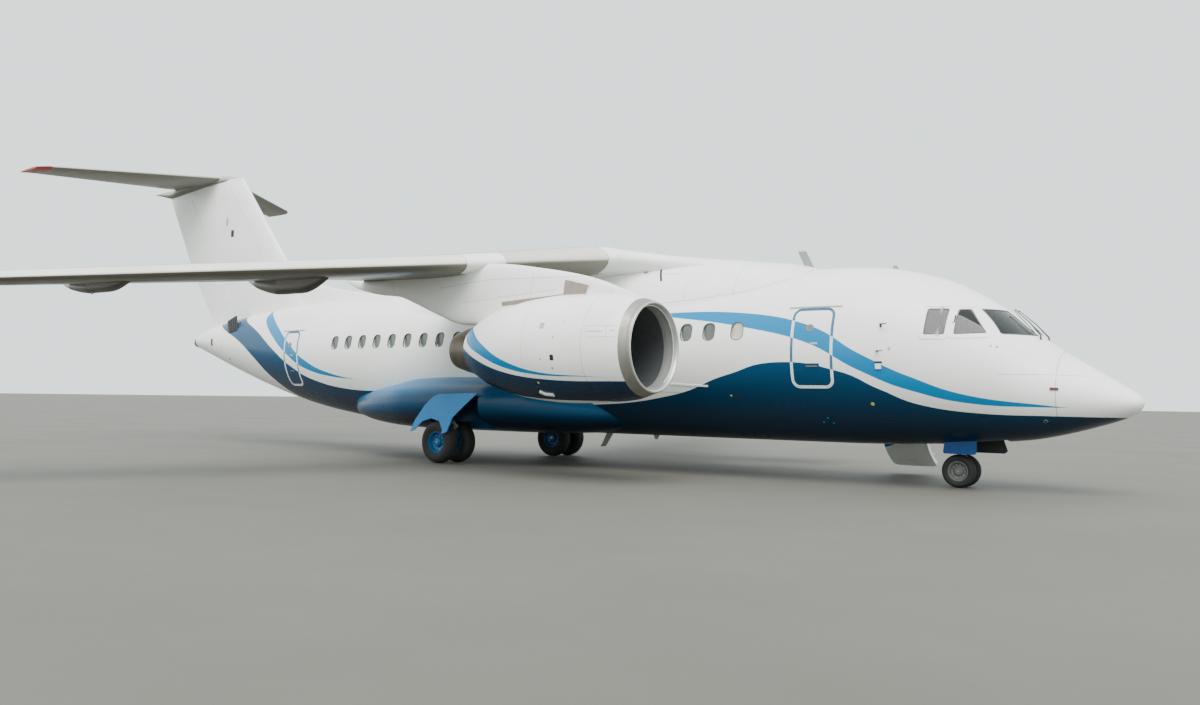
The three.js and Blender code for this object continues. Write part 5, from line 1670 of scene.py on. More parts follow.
@dataclass
class Pylon:
    """The strut between wing and engine, with its cooling intake and outlet."""

    y: float = 4.0
    power: float = 0.62         # how square its sections are
    # Columns are station x, top z, bottom z and half width
    rows: tuple = (
        (7.300, 3.290, 3.150, 0.040), (6.900, 3.450, 3.000, 0.110), (6.308, 3.655, 2.900, 0.150),
        (5.200, 3.880, 2.900, 0.165), (4.196, 4.021, 2.880, 0.170), (3.650, 4.045, 2.870, 0.168),
        (3.300, 4.060, 2.880, 0.165), (2.385, 4.000, 3.160, 0.150), (1.940, 3.970, 3.336, 0.142),
        (1.405, 3.930, 3.515, 0.128), (0.900, 3.900, 3.570, 0.112), (0.200, 3.915, 3.725, 0.080),
        (-0.207, 3.965, 3.895, 0.034),
    )
    # Corners in side view of the intake and the outlet in the strut's flank
    openings: tuple = (((5.790, 3.341), (6.264, 3.298), (6.353, 3.493), (5.818, 3.622)),
                       ((4.340, 3.195), (6.278, 3.285), (6.264, 3.310), (5.783, 3.359),
                         (4.325, 3.276)))

    def solid(self, grow: float = 0.0) -> Mould:
        """The strut's whole outer shape.

        Args:
            grow: how much larger than the skin it is.

        Returns:
            The closed mould.
        """
        fair = Fair(self.rows)
        rings = []
        for x in np.linspace(self.rows[-1][0], self.rows[0][0], 70):
            top, bottom, half = fair(x)
            rings.append(oval(x, half + grow, top + grow, bottom - grow, 40, self.power, -self.y))
        return Mould().loft(rings)

    def skin(self) -> Skin:
        """The outboard flank by station and height."""
        fair = Fair(self.rows)

        def point(x: float, z: float) -> Vector:
            """A point of the flank.

            Args:
                x: its station.
                z: its height.

            Returns:
                The point.
            """
            top, bottom, half = fair(x)
            rise = min(1.0, abs(z - (top + bottom) / 2) / ((top - bottom) / 2))
            across = math.sqrt(1 - rise ** (2 / self.power))
            return Vector((x, -self.y - half * across**self.power, z))
        return point

    def build(self, strut: Mould, steps: list[Step], foil: Aerofoil) -> None:
        """Makes the strut, cut to wing and cowl, with its weathered openings.

        Args:
            strut: its whole shape.
            steps: what the flap takes from it.
            foil: the wing's shape.
        """
        engine = Engine()
        outside = [(x, r + SEAT) for x, r in engine.outside(48)]
        cowl = Mould().turned([(outside[0][0], 0.02), *outside, (outside[-1][0], 0.02)], 96,
                              (0, -self.y, engine.z))
        made = strut.worked(*steps, (Way.CUT, foil.solid(SEAT)), (Way.CUT, cowl))
        place(made, "pylon_right_skin", Finishes.white, stands_for=["pylon_right"], pair=True)
        panels = Mould()
        for corners in self.openings:
            block = Mould().plate(softened(corners, 0.02), -self.y - 0.4, -self.y + 0.4)
            panels.add(block.worked((Way.KEEP, self.solid(0.004))))
        place(panels, "pylon_ducts_right", Finishes.taupe, pair=True)


# Engine


@dataclass
class Engine:
    """A turbofan in its nacelle."""

    y: float = 4.0
    z: float = 2.375
    cowl: tuple = ((7.6, 0.800), (7.25, 0.907), (6.7, 0.958), (5.9, 0.980), (5.2, 0.932),
                   (4.6, 0.830), (4.1, 0.690), (3.65, 0.470))
    duct: tuple = ((3.65, 0.430), (4.2, 0.600), (5.0, 0.730), (6.9, 0.700), (7.6, 0.716))
    lip_front: float = 7.675
    lip_rear: float = 7.40      # how far the bare metal reaches into the duct
    band_rear: float = 7.46
    liner_rear: float = 4.3
    nozzle: tuple = ((3.6497, 0.466), (3.16, 0.345), (3.16, 0.329), (3.6497, 0.426))
    blades: int = 16
    blade_root: float = 0.18
    blade_tip: float = 0.684
    fan_front: float = 6.80
    fan_rear: float = 6.62
    # The hub by station and radius, and the painted swirl: its start, its reach and its turns
    hub: tuple[Pair, ...] = ((6.62, 0.19), (6.80, 0.182), (6.9, 0.155), (7.0, 0.095),
                             (7.08, 0.004))
    swirl: Triple = (6.84, 0.21, 0.9)

    def __post_init__(self) -> None:
        """Works out the engine's line and the duct's shape."""
        self.centre = (0.0, -self.y, self.z)
        self.inner = Fair(self.duct)

    def skin(self) -> Skin:
        """The cowl by station and angle in degrees, up from level on its outboard side."""
        fair = Fair(self.cowl)

        def point(x: float, angle: float) -> Vector:
            """A point of the cowl."""
            radius, turn = fair.first(x), math.radians(angle)
            return Vector((x, -self.y - radius * math.cos(turn), self.z + radius * math.sin(turn)))
        return point

    def outside(self, count: int) -> list[Pair]:
        """Points of the cowl's outer line from the rear: station and radius."""
        return Fair(self.cowl).line(count)

    def build(self) -> None:
        """Makes the nacelle and what is in it."""
        inside = self.inner.line(30, self.duct[-1][0], self.duct[0][0])
        skin = Mould().turned([*self.outside(60), *inside], 112, self.centre)
        place(skin, "cowl_right_skin", Finishes.cowl, stands_for=["cowl_right"], pair=True)
        outer = [(x, r - 0.0005) for x, r in self.inner.line(24, self.lip_rear, self.liner_rear)]
        liner = [*outer, *((x, r - 0.006) for x, r in reversed(outer))]
        place(Mould().turned(liner, 96, self.centre), "intake_liner_right", Finishes.duct,
              pair=True)
        self.lip()
        self.exhaust()
        self.core()
        self.spinner()
        self.fan()

    def lip(self) -> None:
        """Makes the bare metal lip of the intake."""
        base, inner, outer, split, sheet = 7.6003, 0.7035, 0.800, 14, 0.006
        crest, throat = 0.762, self.lip_rear + 0.02
        front = []
        for i in range(21):
            a = math.pi * i / 20
            start, foot = (throat, inner) if a < math.pi / 2 else (base, outer)
            front.append((start + (self.lip_front - start) * math.sin(a),
                          crest + (foot - crest) * abs(math.cos(a))))
        inside = (self.lip_rear, self.inner.first(self.lip_rear) - sheet)
        behind = [(base, crest), (7.59, 0.7095), (self.lip_rear, 0.7095)]
        bright = Mould().turned([inside, *front[:split + 1], *behind], 112, self.centre)
        place(bright, "intake_lip_right_skin", Finishes.polished, stands_for=["intake_lip_right"],
              pair=True)
        band = [(x, r + 0.0025) for x, r in self.outside(120) if x > self.band_rear]
        rough = Mould().turned([*front[split:], (7.5997, 0.8012), *reversed(band),
                                (self.band_rear, 0.84), (7.59, 0.77)], 112, self.centre)
        place(rough, "intake_lip_band_right", Finishes.eroded, pair=True)

    def exhaust(self) -> None:
        """Makes the nozzle."""
        (x0, r0), (x1, r1), (x2, r2), (x3, r3) = self.nozzle
        shares = [i / 8 for i in range(9)]
        profile = [(x0 + (x1 - x0) * t, r0 + (r1 - r0) * t**1.3) for t in shares]
        profile += [(x2 + (x3 - x2) * t, r2 + (r3 - r2) * t) for t in shares]
        place(Mould().turned(profile, 96, self.centre), "nozzle_right_skin", Finishes.steel,
              stands_for=["nozzle_right"], pair=True)

    def core(self) -> None:
        """Makes the core with its tail plug and struts."""
        profile = Fair(((3.30, 0.02), (3.6, 0.12), (4.3, 0.30), (4.8, 0.40), (6.3, 0.40),
                        (6.5, 0.30)))
        body = Mould().turned([*profile.line(60), (6.5, 0.11), (6.6196, 0.11)], 72, self.centre,
                              caps=True)
        vane = [(5.3, -0.012), (5.6, -0.028), (5.9, -0.012), (5.9, 0.012), (5.6, 0.028),
                (5.3, 0.012)]
        for i in range(8):
            turn = (Matrix.Translation(Vector(self.centre))
                    @ Matrix.Rotation(math.tau * (i + 0.5) / 8, 4, "X"))
            body.plate(vane, 0.36, 0.722, "z", turn)
        place(body, "engine_core_right_skin", Finishes.steel, stands_for=["engine_core_right"],
              pair=True)

    def spinner(self) -> None:
        """Makes the spinner with its painted swirl."""
        hub = Fair(self.hub)
        xs = [self.fan_rear + (self.hub[-1][0] - self.fan_rear) * math.sin(math.pi / 2 * i / 30)
              for i in range(31)]
        nose = Mould().turned([(x, hub.first(x)) for x in xs], 64, self.centre, caps=True)
        place(nose, "spinner_right", Finishes.black, "fan_right", pair=True)
        start, reach, turns = self.swirl
        path = []
        for i in range(40):
            t = i / 39
            x = start + reach * t
            radius, turn = hub.first(x) + 0.001, math.tau * turns * t
            path.append(Vector((x, self.centre[1] + radius * math.cos(turn),
                                self.centre[2] + radius * math.sin(turn))))
        swirl = Mould().tube(path, [0.012 - 0.007 * i / 39 for i in range(40)], 8)
        place(swirl, "spinner_swirl_right", Finishes.white, "fan_right", pair=True)

    def fan(self) -> None:
        """Makes the fan's twisted blades."""
        blades = Mould()
        for k in range(self.blades):
            turn = Matrix.Rotation(math.tau * k / self.blades, 4, "X")
            blades.loft([self.blade(t, turn) for t in np.linspace(0, 1, 9)])
        place(blades, "fan_blades_right", Finishes.titanium, "fan_right", ["fan_right"], pair=True)

    def blade(self, t: float, turn: Matrix) -> Ring:
        """A section of a blade.

        Args:
            t: how far out it is, from 0 at the root to 1 at the tip.
            turn: where the blade stands round the hub.

        Returns:
            The ring.
        """
        middle, centre = (self.fan_front + self.fan_rear) / 2, Vector(self.centre)
        r = self.blade_root + (self.blade_tip - self.blade_root) * t
        lean = math.radians(18 + 38 * t)
        half, thick = 0.075 + 0.028 * t, 0.010 - 0.006 * t
        bow = 0.03 * math.sin(math.pi * t) - 0.015 * t
        ring = []
        for i in range(14):
            a = math.tau * i / 14
            u = half * math.cos(a)
            v = thick * math.sin(a) + 0.016 * (1 - (u / half) ** 2)
            x = middle + u * math.cos(lean) - v * math.sin(lean)
            y = u * math.sin(lean) + v * math.cos(lean) + bow
            x = min(max(x, self.fan_rear + 0.003), self.fan_front + 0.03)
            ring.append(turn @ Vector((x, y, r)) + centre)
        return ring


# Tail


@dataclass
class Tail:
    """Fin, rudder, tailplane and elevators."""

    fin: Aerofoil = field(default_factory=lambda: Aerofoil((
        (3.300, -5.908, -10.885, 0.0, 0.095, 0.0),
        (5.572, -7.794, -12.456, 0.0, 0.090, 0.0),
        (7.860, -9.694, -13.733, 0.0, 0.085, 0.0),
        (8.000, -9.810, -13.811, 0.0, 0.070, 0.0),
    ), upright=True))
    rudder: Triple = (4.27, 7.56, 0.70)
    # Columns are station x, half width and top z
    dorsal: tuple = ((-2.9, 0.015, 4.066), (-4.2, 0.055, 4.23), (-5.8, 0.09, 4.49),
                     (-6.8, 0.12, 4.82), (-7.7, 0.15, 5.42), (-8.3, 0.12, 5.50))
    dorsal_base: float = 3.7
    plane: Aerofoil = field(default_factory=lambda: Aerofoil((
        (0.0, -10.650, -13.250, 8.080, 0.09, 2.0),
        (4.15, -13.120, -14.330, 7.950, 0.10, 2.0),
        (4.38, -13.420, -14.520, 7.945, 0.05, 2.0),
    )))
    elevator: Triple = (0.52, 4.08, 0.68)
    red_from: float = 4.095
    # Columns are station x, half width, top z and bottom z
    bullet: tuple = ((-9.9, 0.020, 8.020, 7.980), (-10.3, 0.110, 8.100, 7.880),
                     (-10.65, 0.175, 8.170, 7.850), (-11.7, 0.200, 8.190, 7.790),
                     (-12.7, 0.180, 8.120, 7.770), (-13.5, 0.120, 8.020, 7.745),
                     (-14.2, 0.050, 8.000, 7.880), (-14.565, 0.010, 7.985, 7.960))

    def outboard(self, gap: float = 0.0) -> Mould:
        """A box over the red tip of the tailplane, a gap further out."""
        return Mould().box((-16, -5, 7), (-12, -self.red_from - gap, 9))

    def build(self) -> None:
        """Makes the fin, then the tailplane."""
        self.build_fin()
        self.build_tailplane()

    def build_fin(self) -> None:
        """Makes the fin with its dorsal fillet, and the rudder."""
        whole = self.fin.solid()
        low, high, chord = self.rudder
        moving, steps = hinged(whole, self.fin, HingeLine("rudder_hinge", low, high, True), chord)
        place(moving, "rudder_skin", Finishes.white, "rudder", ["rudder"])
        fair = Fair(self.dorsal)
        rings = []
        for x in np.linspace(self.dorsal[-1][0], self.dorsal[0][0], 40):
            half, top = fair(x)
            rings.append(oval(x, half, top, 2 * self.dorsal_base - top, 36))
        body = HULL.solid(HULL.sections[0][0], 0.0, SEAT)
        fin = carved(whole, [*steps, (Way.JOIN, Mould().loft(rings)), (Way.CUT, body)])
        settle(fin, "fin_skin", Finishes.white, stands_for=["fin"])

    def build_tailplane(self) -> None:
        """Makes the tailplane with its bullet fairing, the elevators and the tips."""
        half_span = self.plane.solid()
        inner, outer, chord = self.elevator
        line = HingeLine("elevator_hinge_right", inner, outer)
        moving, steps = hinged(half_span, self.plane, line, chord)
        place(moving, "elevator_right_skin", Finishes.tail, "elevator_right", ["elevator_right"],
              pair=True)
        half = half_span.worked(*steps)
        fair = Fair(self.bullet)
        front, rear = self.bullet[0][0], self.bullet[-1][0]
        rings = []
        for i in range(60):
            t = i / 59
            x = front + (rear - front) * (t - math.sin(math.tau * t) / math.tau * 0.6)
            rings.append(oval(x, *fair(x), 48))
        tailplane = carved(half, [(Way.JOIN, half.mirrored()), (Way.JOIN, Mould().loft(rings)),
                                  (Way.CUT, self.fin.solid(SEAT)), (Way.CUT, self.outboard()),
                                  (Way.CUT, self.outboard().mirrored())])
        settle(tailplane, "tailplane_skin", Finishes.tail, stands_for=["tailplane"])
        tip = half_span.worked((Way.KEEP, self.outboard(SEAT)))
        place(tip, "tailplane_tip_right", Finishes.red)
        place(tip.mirrored(), "tailplane_tip_left", Finishes.tail)


# Landing gear


@dataclass
class Wheel:
    """A tyre on its rim: place, size and the axle's radius."""

    x: float
    y: float
    radius: float
    half: float
    rim: float
    axle: float

    def tyre(self) -> Mould:
        """The tyre with its grooves and rounded shoulders."""
        depth, bead = self.radius - self.rim, 0.75 * self.half
        grooves = (-0.52, -0.18, 0.18, 0.52)

        def reach(share: float, power: float) -> float:
            """The radius at a share of the half width; a higher power is flatter."""
            side = max(0.0, 1 - abs(share) ** power)
            return self.rim + depth * (0.42 + 0.58 * math.sqrt(side))

        profile = []
        for i in range(33):
            w = math.sin(math.pi * (i / 32 - 0.5))
            if abs(w) > 0.62:
                share = math.copysign(abs(w) ** 0.8, w)
                profile.append((self.half * share, reach(w, 2.2)))
        for groove in grooves:
            for edge, sunk in ((-0.05, 0), (-0.04, 0.009), (0.04, 0.009), (0.05, 0)):
                profile.append((self.half * (groove + edge), reach(groove + edge, 2.5) - sunk))
        profile.sort()
        profile = [(-bead, self.rim + 0.0005), *profile, (bead, self.rim + 0.0005)]
        return Mould().turned(profile, 96, (self.x, self.y, self.radius), "y")

    def hub(self, side: int) -> tuple[Mould, Mould]:
        """The rim and what is bolted to it.

        Args:
            side: which way its open face looks.

        Returns:
            The painted rim and the bare bolts.
        """
        r, h = self.rim - 0.0008, self.half
        profile = [(side * w * h, radius) for w, radius in
                   ((0.72, r), (0.72, r - 0.016), (0.45, r - 0.034), (0.18, r - 0.05),
                    (0.10, self.axle + 0.075), (0.30, self.axle + 0.05),
                    (0.48, self.axle + 0.035), (0.50, self.axle + 0.02), (0.50, 0.003),
                    (-0.4, 0.003), (-0.45, r - 0.06), (-0.72, r - 0.02), (-0.72, r))]
        rim = Mould().turned(profile, 72, (self.x, self.y, self.radius), "y")
        bolts = Mould()
        for i in range(10):
            a = math.tau * i / 10
            out = (self.axle + r) / 2 + 0.012
            cx, cz = self.x + out * math.cos(a), self.radius + out * math.sin(a)
            bolts.bar((cx, self.y + side * 0.08 * h, cz), (cx, self.y + side * 0.30 * h, cz), 0.011,
                      0.010, 6)
        bolts.bar((self.x, self.y + side * 0.4 * h, self.radius),
                  (self.x, self.y + side * 0.58 * h, self.radius), self.axle * 0.55, sides=18)
        return rim, bolts


@dataclass
class MainGear:
    """Main legs, wheels and doors, with the belly fairing that they fold into."""

    x: float = 0.977
    y: float = 2.04
    track: float = 0.29
    radius: float = 0.465
    half: float = 0.155
    rim: float = 0.235
    axle: float = 0.045
    # Columns are station x, half width, top z and bottom z
    belly: tuple = ((-3.7, 0.50, 1.25, 1.05), (-3.0, 1.25, 1.56, 0.90), (-2.2, 1.72, 1.70, 0.77),
                    (-1.3, 2.05, 1.85, 0.70), (-0.3, 2.27, 1.99, 0.68), (0.8, 2.32, 2.02, 0.68),
                    (2.0, 2.30, 2.01, 0.68), (2.9, 2.10, 1.95, 0.69), (3.8, 1.70, 1.83, 0.72),
                    (4.6, 1.25, 1.65, 0.80), (5.2, 0.80, 1.45, 0.90))
    # The wheel bay: its inner wall, and its corners in side view
    wall: float = 1.56
    bay: tuple = ((0.88, 1.49), (2.06, 1.49), (2.06, 0.5), (0.18, 0.5), (0.18, 0.64))
    # The leg door: its middle at a height, how far it leans, and its corners in side view
    door_y: float = 2.36
    door_z: float = 1.55
    lean: float = 12.0
    door: tuple = ((0.77, 1.434), (0.96, 1.525), (2.12, 1.560), (1.80, 1.296), (1.49, 1.010),
                   (1.40, 0.700), (1.23, 0.655), (1.26, 0.740), (1.12, 0.930), (0.86, 0.990),
                   (0.61, 0.920), (0.39, 0.710), (0.27, 0.675), (0.37, 0.940), (0.60, 1.276))

    def build(self) -> None:
        """Makes the belly fairing and both legs."""
        fair = Fair(self.belly)
        rings = [oval(x, *fair(x), 112, 0.72)
                 for x in np.linspace(self.belly[0][0], self.belly[-1][0], 96)]
        room = Mould().plate(self.bay, self.wall, FAR)
        belly = carved(Mould().loft(rings), [(Way.CUT, HULL.solid(-6, 8, SEAT)),
                                             (Way.CUT, room), (Way.CUT, room.mirrored())])
        settle(belly, "belly_fairing_skin", Finishes.belly, stands_for=["belly_fairing"])
        self.wheels()
        self.leg()
        self.brakes()
        self.leg_door()

    def wheels(self) -> None:
        """Makes the two wheels of a leg."""
        for name, offset, side in (("outer", self.track, -1), ("inner", -self.track, 1)):
            wheel = Wheel(self.x, -self.y - offset, self.radius, self.half, self.rim, self.axle)
            place(wheel.tyre(), f"main_tyre_{name}_right_skin", Finishes.tread,
                  "main_wheels_right", [f"main_tyre_{name}_right"], pair=True)
            rim, bolts = wheel.hub(side)
            outer = side < 0
            if outer:
                rim.bar((self.x, -self.y - self.track, self.radius),
                        (self.x, -self.y + self.track, self.radius), self.axle)
            place(rim, f"main_rim_{name}_right", Finishes.wheel, "main_wheels_right",
                  ["main_hubs_right"] if outer else (), pair=True)
            place(bolts, f"main_bolts_{name}_right", Finishes.scuffed, "main_wheels_right",
                  pair=True)

    def brakes(self) -> None:
        """Makes the brake packs between the leg and its wheels, with their pistons."""
        packs, near, far, radius = Mould(), 0.068, 0.150, 0.160
        for side in (-1, 1):
            profile = [(side * near, 0.047), (side * near, radius - 0.02),
                       (side * (near + 0.02), radius), (side * far, radius), (side * far, 0.047)]
            packs.turned(profile, 40, (self.x, -self.y, self.radius), "y")
            for i in range(7):
                a = math.tau * i / 7
                cx, cz = self.x + 0.115 * math.cos(a), self.radius + 0.115 * math.sin(a)
                packs.bar((cx, -self.y + side * 0.056, cz), (cx, -self.y + side * near, cz), 0.024)
        place(packs, "main_brakes_right", Finishes.steel, pair=True)

    def leg(self) -> None:
        """Makes one leg with its braces, link, actuator and hoses."""
        x, y, r = self.x, -self.y, self.radius
        head = self.bay[0][1] - SEAT
        shell = Mould().bar((x, y, 0.90), (x, y, head), 0.085, sides=40)
        shell.bar((x, y, 0.90), (x, y, 0.96), 0.100, sides=40)
        shell.bar((x, y, 1.25), (x, y, 1.30), 0.098, sides=40)
        shell.bar((x, y + 0.06, 1.0), (x, y + 0.35, head - 0.04), 0.038)
        shell.bar((x + 0.04, y, 0.98), (x + 0.56, y + 0.04, head - 0.04), 0.032)
        shell.bar(*self.arm(), 0.026)
        lug = ((x - 0.02, 0.60), (x + 0.07, 0.60), (x + 0.07, 0.72), (x - 0.02, 0.72))
        shell.plate(softened(lug, 0.02), y - 0.042, y + 0.042)
        link = ((x + 0.06, 0.64), (x + 0.24, 0.80), (x + 0.24, 0.84), (x + 0.06, 0.98),
                (x + 0.06, 0.94), (x + 0.19, 0.82), (x + 0.06, 0.70))
        for side in (-1, 1):
            shell.plate(link, y + side * 0.026 - 0.014, y + side * 0.026 + 0.014)
        bore = self.axle + 0.0008
        shell.turned([(-0.062, bore), (-0.062, 0.088), (0.062, 0.088), (0.062, bore)], 40,
                     (x, y, r), "y")
        place(shell, "main_leg_right_skin", Finishes.epoxy, stands_for=["main_leg_right"],
              pair=True)
        place(Mould().bar((x, y, r + 0.08), (x, y, 0.92), 0.062, sides=40), "main_piston_right",
              Finishes.chrome, pair=True)
        hoses = Mould()
        for dx, dy in ((0.09, 0.03), (0.095, -0.02), (-0.09, 0.0)):
            hoses.tube([(x + dx, y + dy, head - 0.05), (x + dx, y + dy, 1.1),
                        (x + dx * 1.25, y + dy * 1.6, 0.88), (x + dx * 1.1, y + dy * 2.0, 0.70),
                        (x + dx * 0.8, y + dy * 2.2, 0.56)], 0.009, 8)
        place(hoses, "main_leg_hoses_right", Finishes.black, pair=True)

    def arm(self) -> tuple[Vector, Vector]:
        """The two ends of the arm that stands square on the leg door's inner face."""
        lean, height, half = math.radians(self.lean), 1.18, 0.012
        square = Vector((0, math.cos(lean), -math.sin(lean)))
        y = -self.door_y + half + (height - self.door_z) * math.tan(lean)
        face = Vector((self.x, y, height))
        end = face + square * SEAT
        return end + square * ((-self.y - end.y) / square.y), end

    def leg_door(self) -> None:
        """Makes the door that hangs on the leg, arched over the wheel."""
        slope = math.tan(math.radians(self.lean))
        skew = Matrix(((1, 0, 0, 0), (0, 1, slope, -self.door_y - self.door_z * slope),
                       (0, 0, 1, 0), (0, 0, 0, 1)))
        panel = Mould().plate(softened(self.door, 0.03), -0.012, 0.012, "y", skew)
        place(panel, "leg_door_right_skin", Finishes.bright, stands_for=["leg_door_right"],
              pair=True)


@dataclass
class NoseGear:
    """The nose leg, which steers, with its two wheels and doors."""

    x: float = 11.64
    track: float = 0.16
    radius: float = 0.295
    half: float = 0.098
    rim: float = 0.178
    axle: float = 0.028
    turn: float = 0.64
    bay_front: float = 12.5
    bay_rear: float = 11.38
    bay_half: float = 0.30
    bay_top: float = 1.18
    # Corners in side view of the starboard door and of the longer port one
    doors: tuple = (("right", -1, ((11.467, 1.0), (11.418, 0.630), (11.440, 0.604), (11.966, 0.600),
                                   (12.0, 0.640), (12.0, 1.0))),
                    ("left", 1, ((11.467, 1.0), (11.418, 0.640), (11.440, 0.612), (12.300, 0.612),
                                 (12.350, 0.660), (12.230, 1.0))))
    door_y: float = 0.352

    def build(self) -> None:
        """Makes the leg, the wheels and the doors."""
        self.leg()
        self.wheels()
        self.bay_doors()

    def leg(self) -> None:
        """Makes the fixed leg with its braces, and the part that steers."""
        x, r = self.x, self.radius
        fixed = Mould().bar((x, 0, self.turn), (x, 0, self.bay_top - SEAT), 0.070, sides=40)
        fixed.bar((x, 0, self.turn), (x, 0, self.turn + 0.05), 0.082, sides=40)
        fixed.bar((x + 0.02, 0, 0.76), (x + 0.62, 0, self.bay_top - 0.045), 0.034)
        fixed.bar((x, -0.15, 1.0), (x, 0.15, 1.0), 0.040)
        for side in (-1, 1):
            y = side * 0.075
            fixed.bar((x - 0.10, y, 0.80), (x + 0.10, y, 0.80), 0.030, sides=24)
        place(fixed, "nose_leg_skin", Finishes.epoxy, stands_for=["nose_leg"])
        steered = Mould().bar((x, 0, self.turn - 0.06), (x, 0, self.turn - SEAT), 0.078, sides=40)
        link = ((x + 0.03, 0.33), (x + 0.15, 0.44), (x + 0.15, 0.47), (x + 0.06, 0.60),
                (x + 0.04, 0.60), (x + 0.11, 0.455), (x + 0.03, 0.38))
        for side in (-1, 1):
            steered.plate(link, side * 0.018 - 0.008, side * 0.018 + 0.008)
        bore = self.axle + 0.0008
        steered.turned([(-0.048, bore), (-0.048, 0.058), (0.048, 0.058), (0.048, bore)], 36,
                       (x, 0, r), "y")
        place(steered, "nose_leg_steered_skin", Finishes.epoxy, "nose_steering",
              ["nose_leg_steered"])
        piston = Mould().bar((x, 0, r + 0.05), (x, 0, self.turn - 0.03), 0.048, sides=36)
        place(piston, "nose_piston", Finishes.chrome, "nose_steering")

    def wheels(self) -> None:
        """Makes the two wheels on their axle."""
        x, r = self.x, self.radius
        wheel = Wheel(x, -self.track, r, self.half, self.rim, self.axle)
        place(wheel.tyre(), "nose_tyre_right_skin", Finishes.tread, "nose_wheels",
              ["nose_tyre_right"], pair=True)
        rim, bolts = wheel.hub(-1)
        rims = Mould().add(rim).add(rim.mirrored())
        rims.bar((x, -self.track, r), (x, self.track, r), self.axle)
        place(rims, "nose_rims", Finishes.cast, "nose_wheels", ["nose_hubs"])
        place(Mould().add(bolts).add(bolts.mirrored()), "nose_bolts", Finishes.scuffed,
              "nose_wheels")

    def bay_doors(self) -> None:
        """Makes the bay's two doors, blue outside and with a dark lining."""
        for name, side, corners in self.doors:
            outline, piece = softened(corners, 0.012), f"nose_door_{name}"
            for part, inward, half, gap, finish, solids in (
                    ("skin", 0.0, 0.008, SEAT, Finishes.door, [piece]),
                    ("lining", 0.0095, 0.0012, 0.004, Finishes.black, [])):
                y = side * (self.door_y - inward)
                made = carved(Mould().plate(outline, y - half, y + half),
                              [(Way.CUT, HULL.solid(10.5, 13.3, gap))])
                settle(made, f"{piece}_{part}", finish, stands_for=solids)


# Fairing over the wing, and the airstair


@dataclass
class WingFairing:
    """The long hump that blends the wing into the fuselage's crown."""

    # Columns are station x, half width and crown z
    rows: tuple = ((8.98, 1.15, 4.04), (8.79, 1.29, 4.12), (8.49, 1.34, 4.19), (7.385, 1.40, 4.332),
                   (5.6, 1.46, 4.562), (3.964, 1.48, 4.769), (2.4, 1.48, 4.795), (0.9, 1.46, 4.64),
                   (-0.5, 1.41, 4.37), (-1.7, 1.33, 4.13), (-2.3, 1.20, 4.04))
    base: float = 2.9
    half: float = 1.4497        # of the wing's middle, which is one piece with the hump
    # The fillet at the wing's root: where it starts and ends outboard, and its sweep forward
    glove_inner: float = 0.62
    glove_outer: float = 1.548
    glove_reach: float = 1.35

    def glove(self, foil: Aerofoil) -> Aerofoil:
        """The fillet that leads the wing's leading edge into the hump.

        Args:
            foil: the wing.

        Returns:
            A short surface whose leading edge curves forward.
        """
        root, rows = foil.rows[0], []
        _, lead, trail, height, _, _ = foil.at(self.glove_outer)
        rear = root[3] - (root[1] - root[2]) * math.sin(math.radians(root[5]))
        for i in range(10):
            e = 1 - i / 9
            inward = e * (self.glove_outer - self.glove_inner)
            front = lead + 0.532 * inward + self.glove_reach * e**2.5
            high, chord = height + 0.113 * inward - 0.30 * e * e, front - trail
            twist = math.degrees(math.asin((high - rear) / chord))
            thick = (root[1] - root[2]) * root[4] * (1 - 0.25 * e) / chord
            rows.append((self.glove_outer - inward, front, trail, high, thick, twist))
        return Aerofoil(tuple(rows), foil.camber)

    def skin(self) -> Skin:
        """The starboard side of the hump by station and height."""
        fair = Fair(self.rows)

        def point(x: float, z: float) -> Vector:
            """A point of the hump.

            Args:
                x: its station.
                z: its height.

            Returns:
                The point.
            """
            half, top = fair(x)
            rise = min(1.0, abs(z - self.base) / (top - self.base))
            return Vector((x, -half * math.sqrt(1 - rise * rise), z))
        return point

    def build(self) -> None:
        """Makes the hump with the wing's middle in it."""
        fair = Fair(self.rows)
        rings = []
        for x in np.linspace(self.rows[-1][0], self.rows[0][0], 100):
            half, top = fair(x)
            rings.append(oval(x, half, top, 2 * self.base - top, 96))
        foil = Wing().foil
        middle = replace(foil, rows=tuple((y, *foil.rows[0][1:]) for y in (-self.half, self.half)))
        glove = self.glove(foil).solid()
        hump = carved(Mould().loft(rings), [(Way.JOIN, middle.solid()), (Way.JOIN, glove),
                                            (Way.JOIN, glove.mirrored()),
                                            (Way.CUT, HULL.solid(-6, 12, SEAT))])
        settle(hump, "wing_fairing_skin", Finishes.white, stands_for=["wing_fairing"])


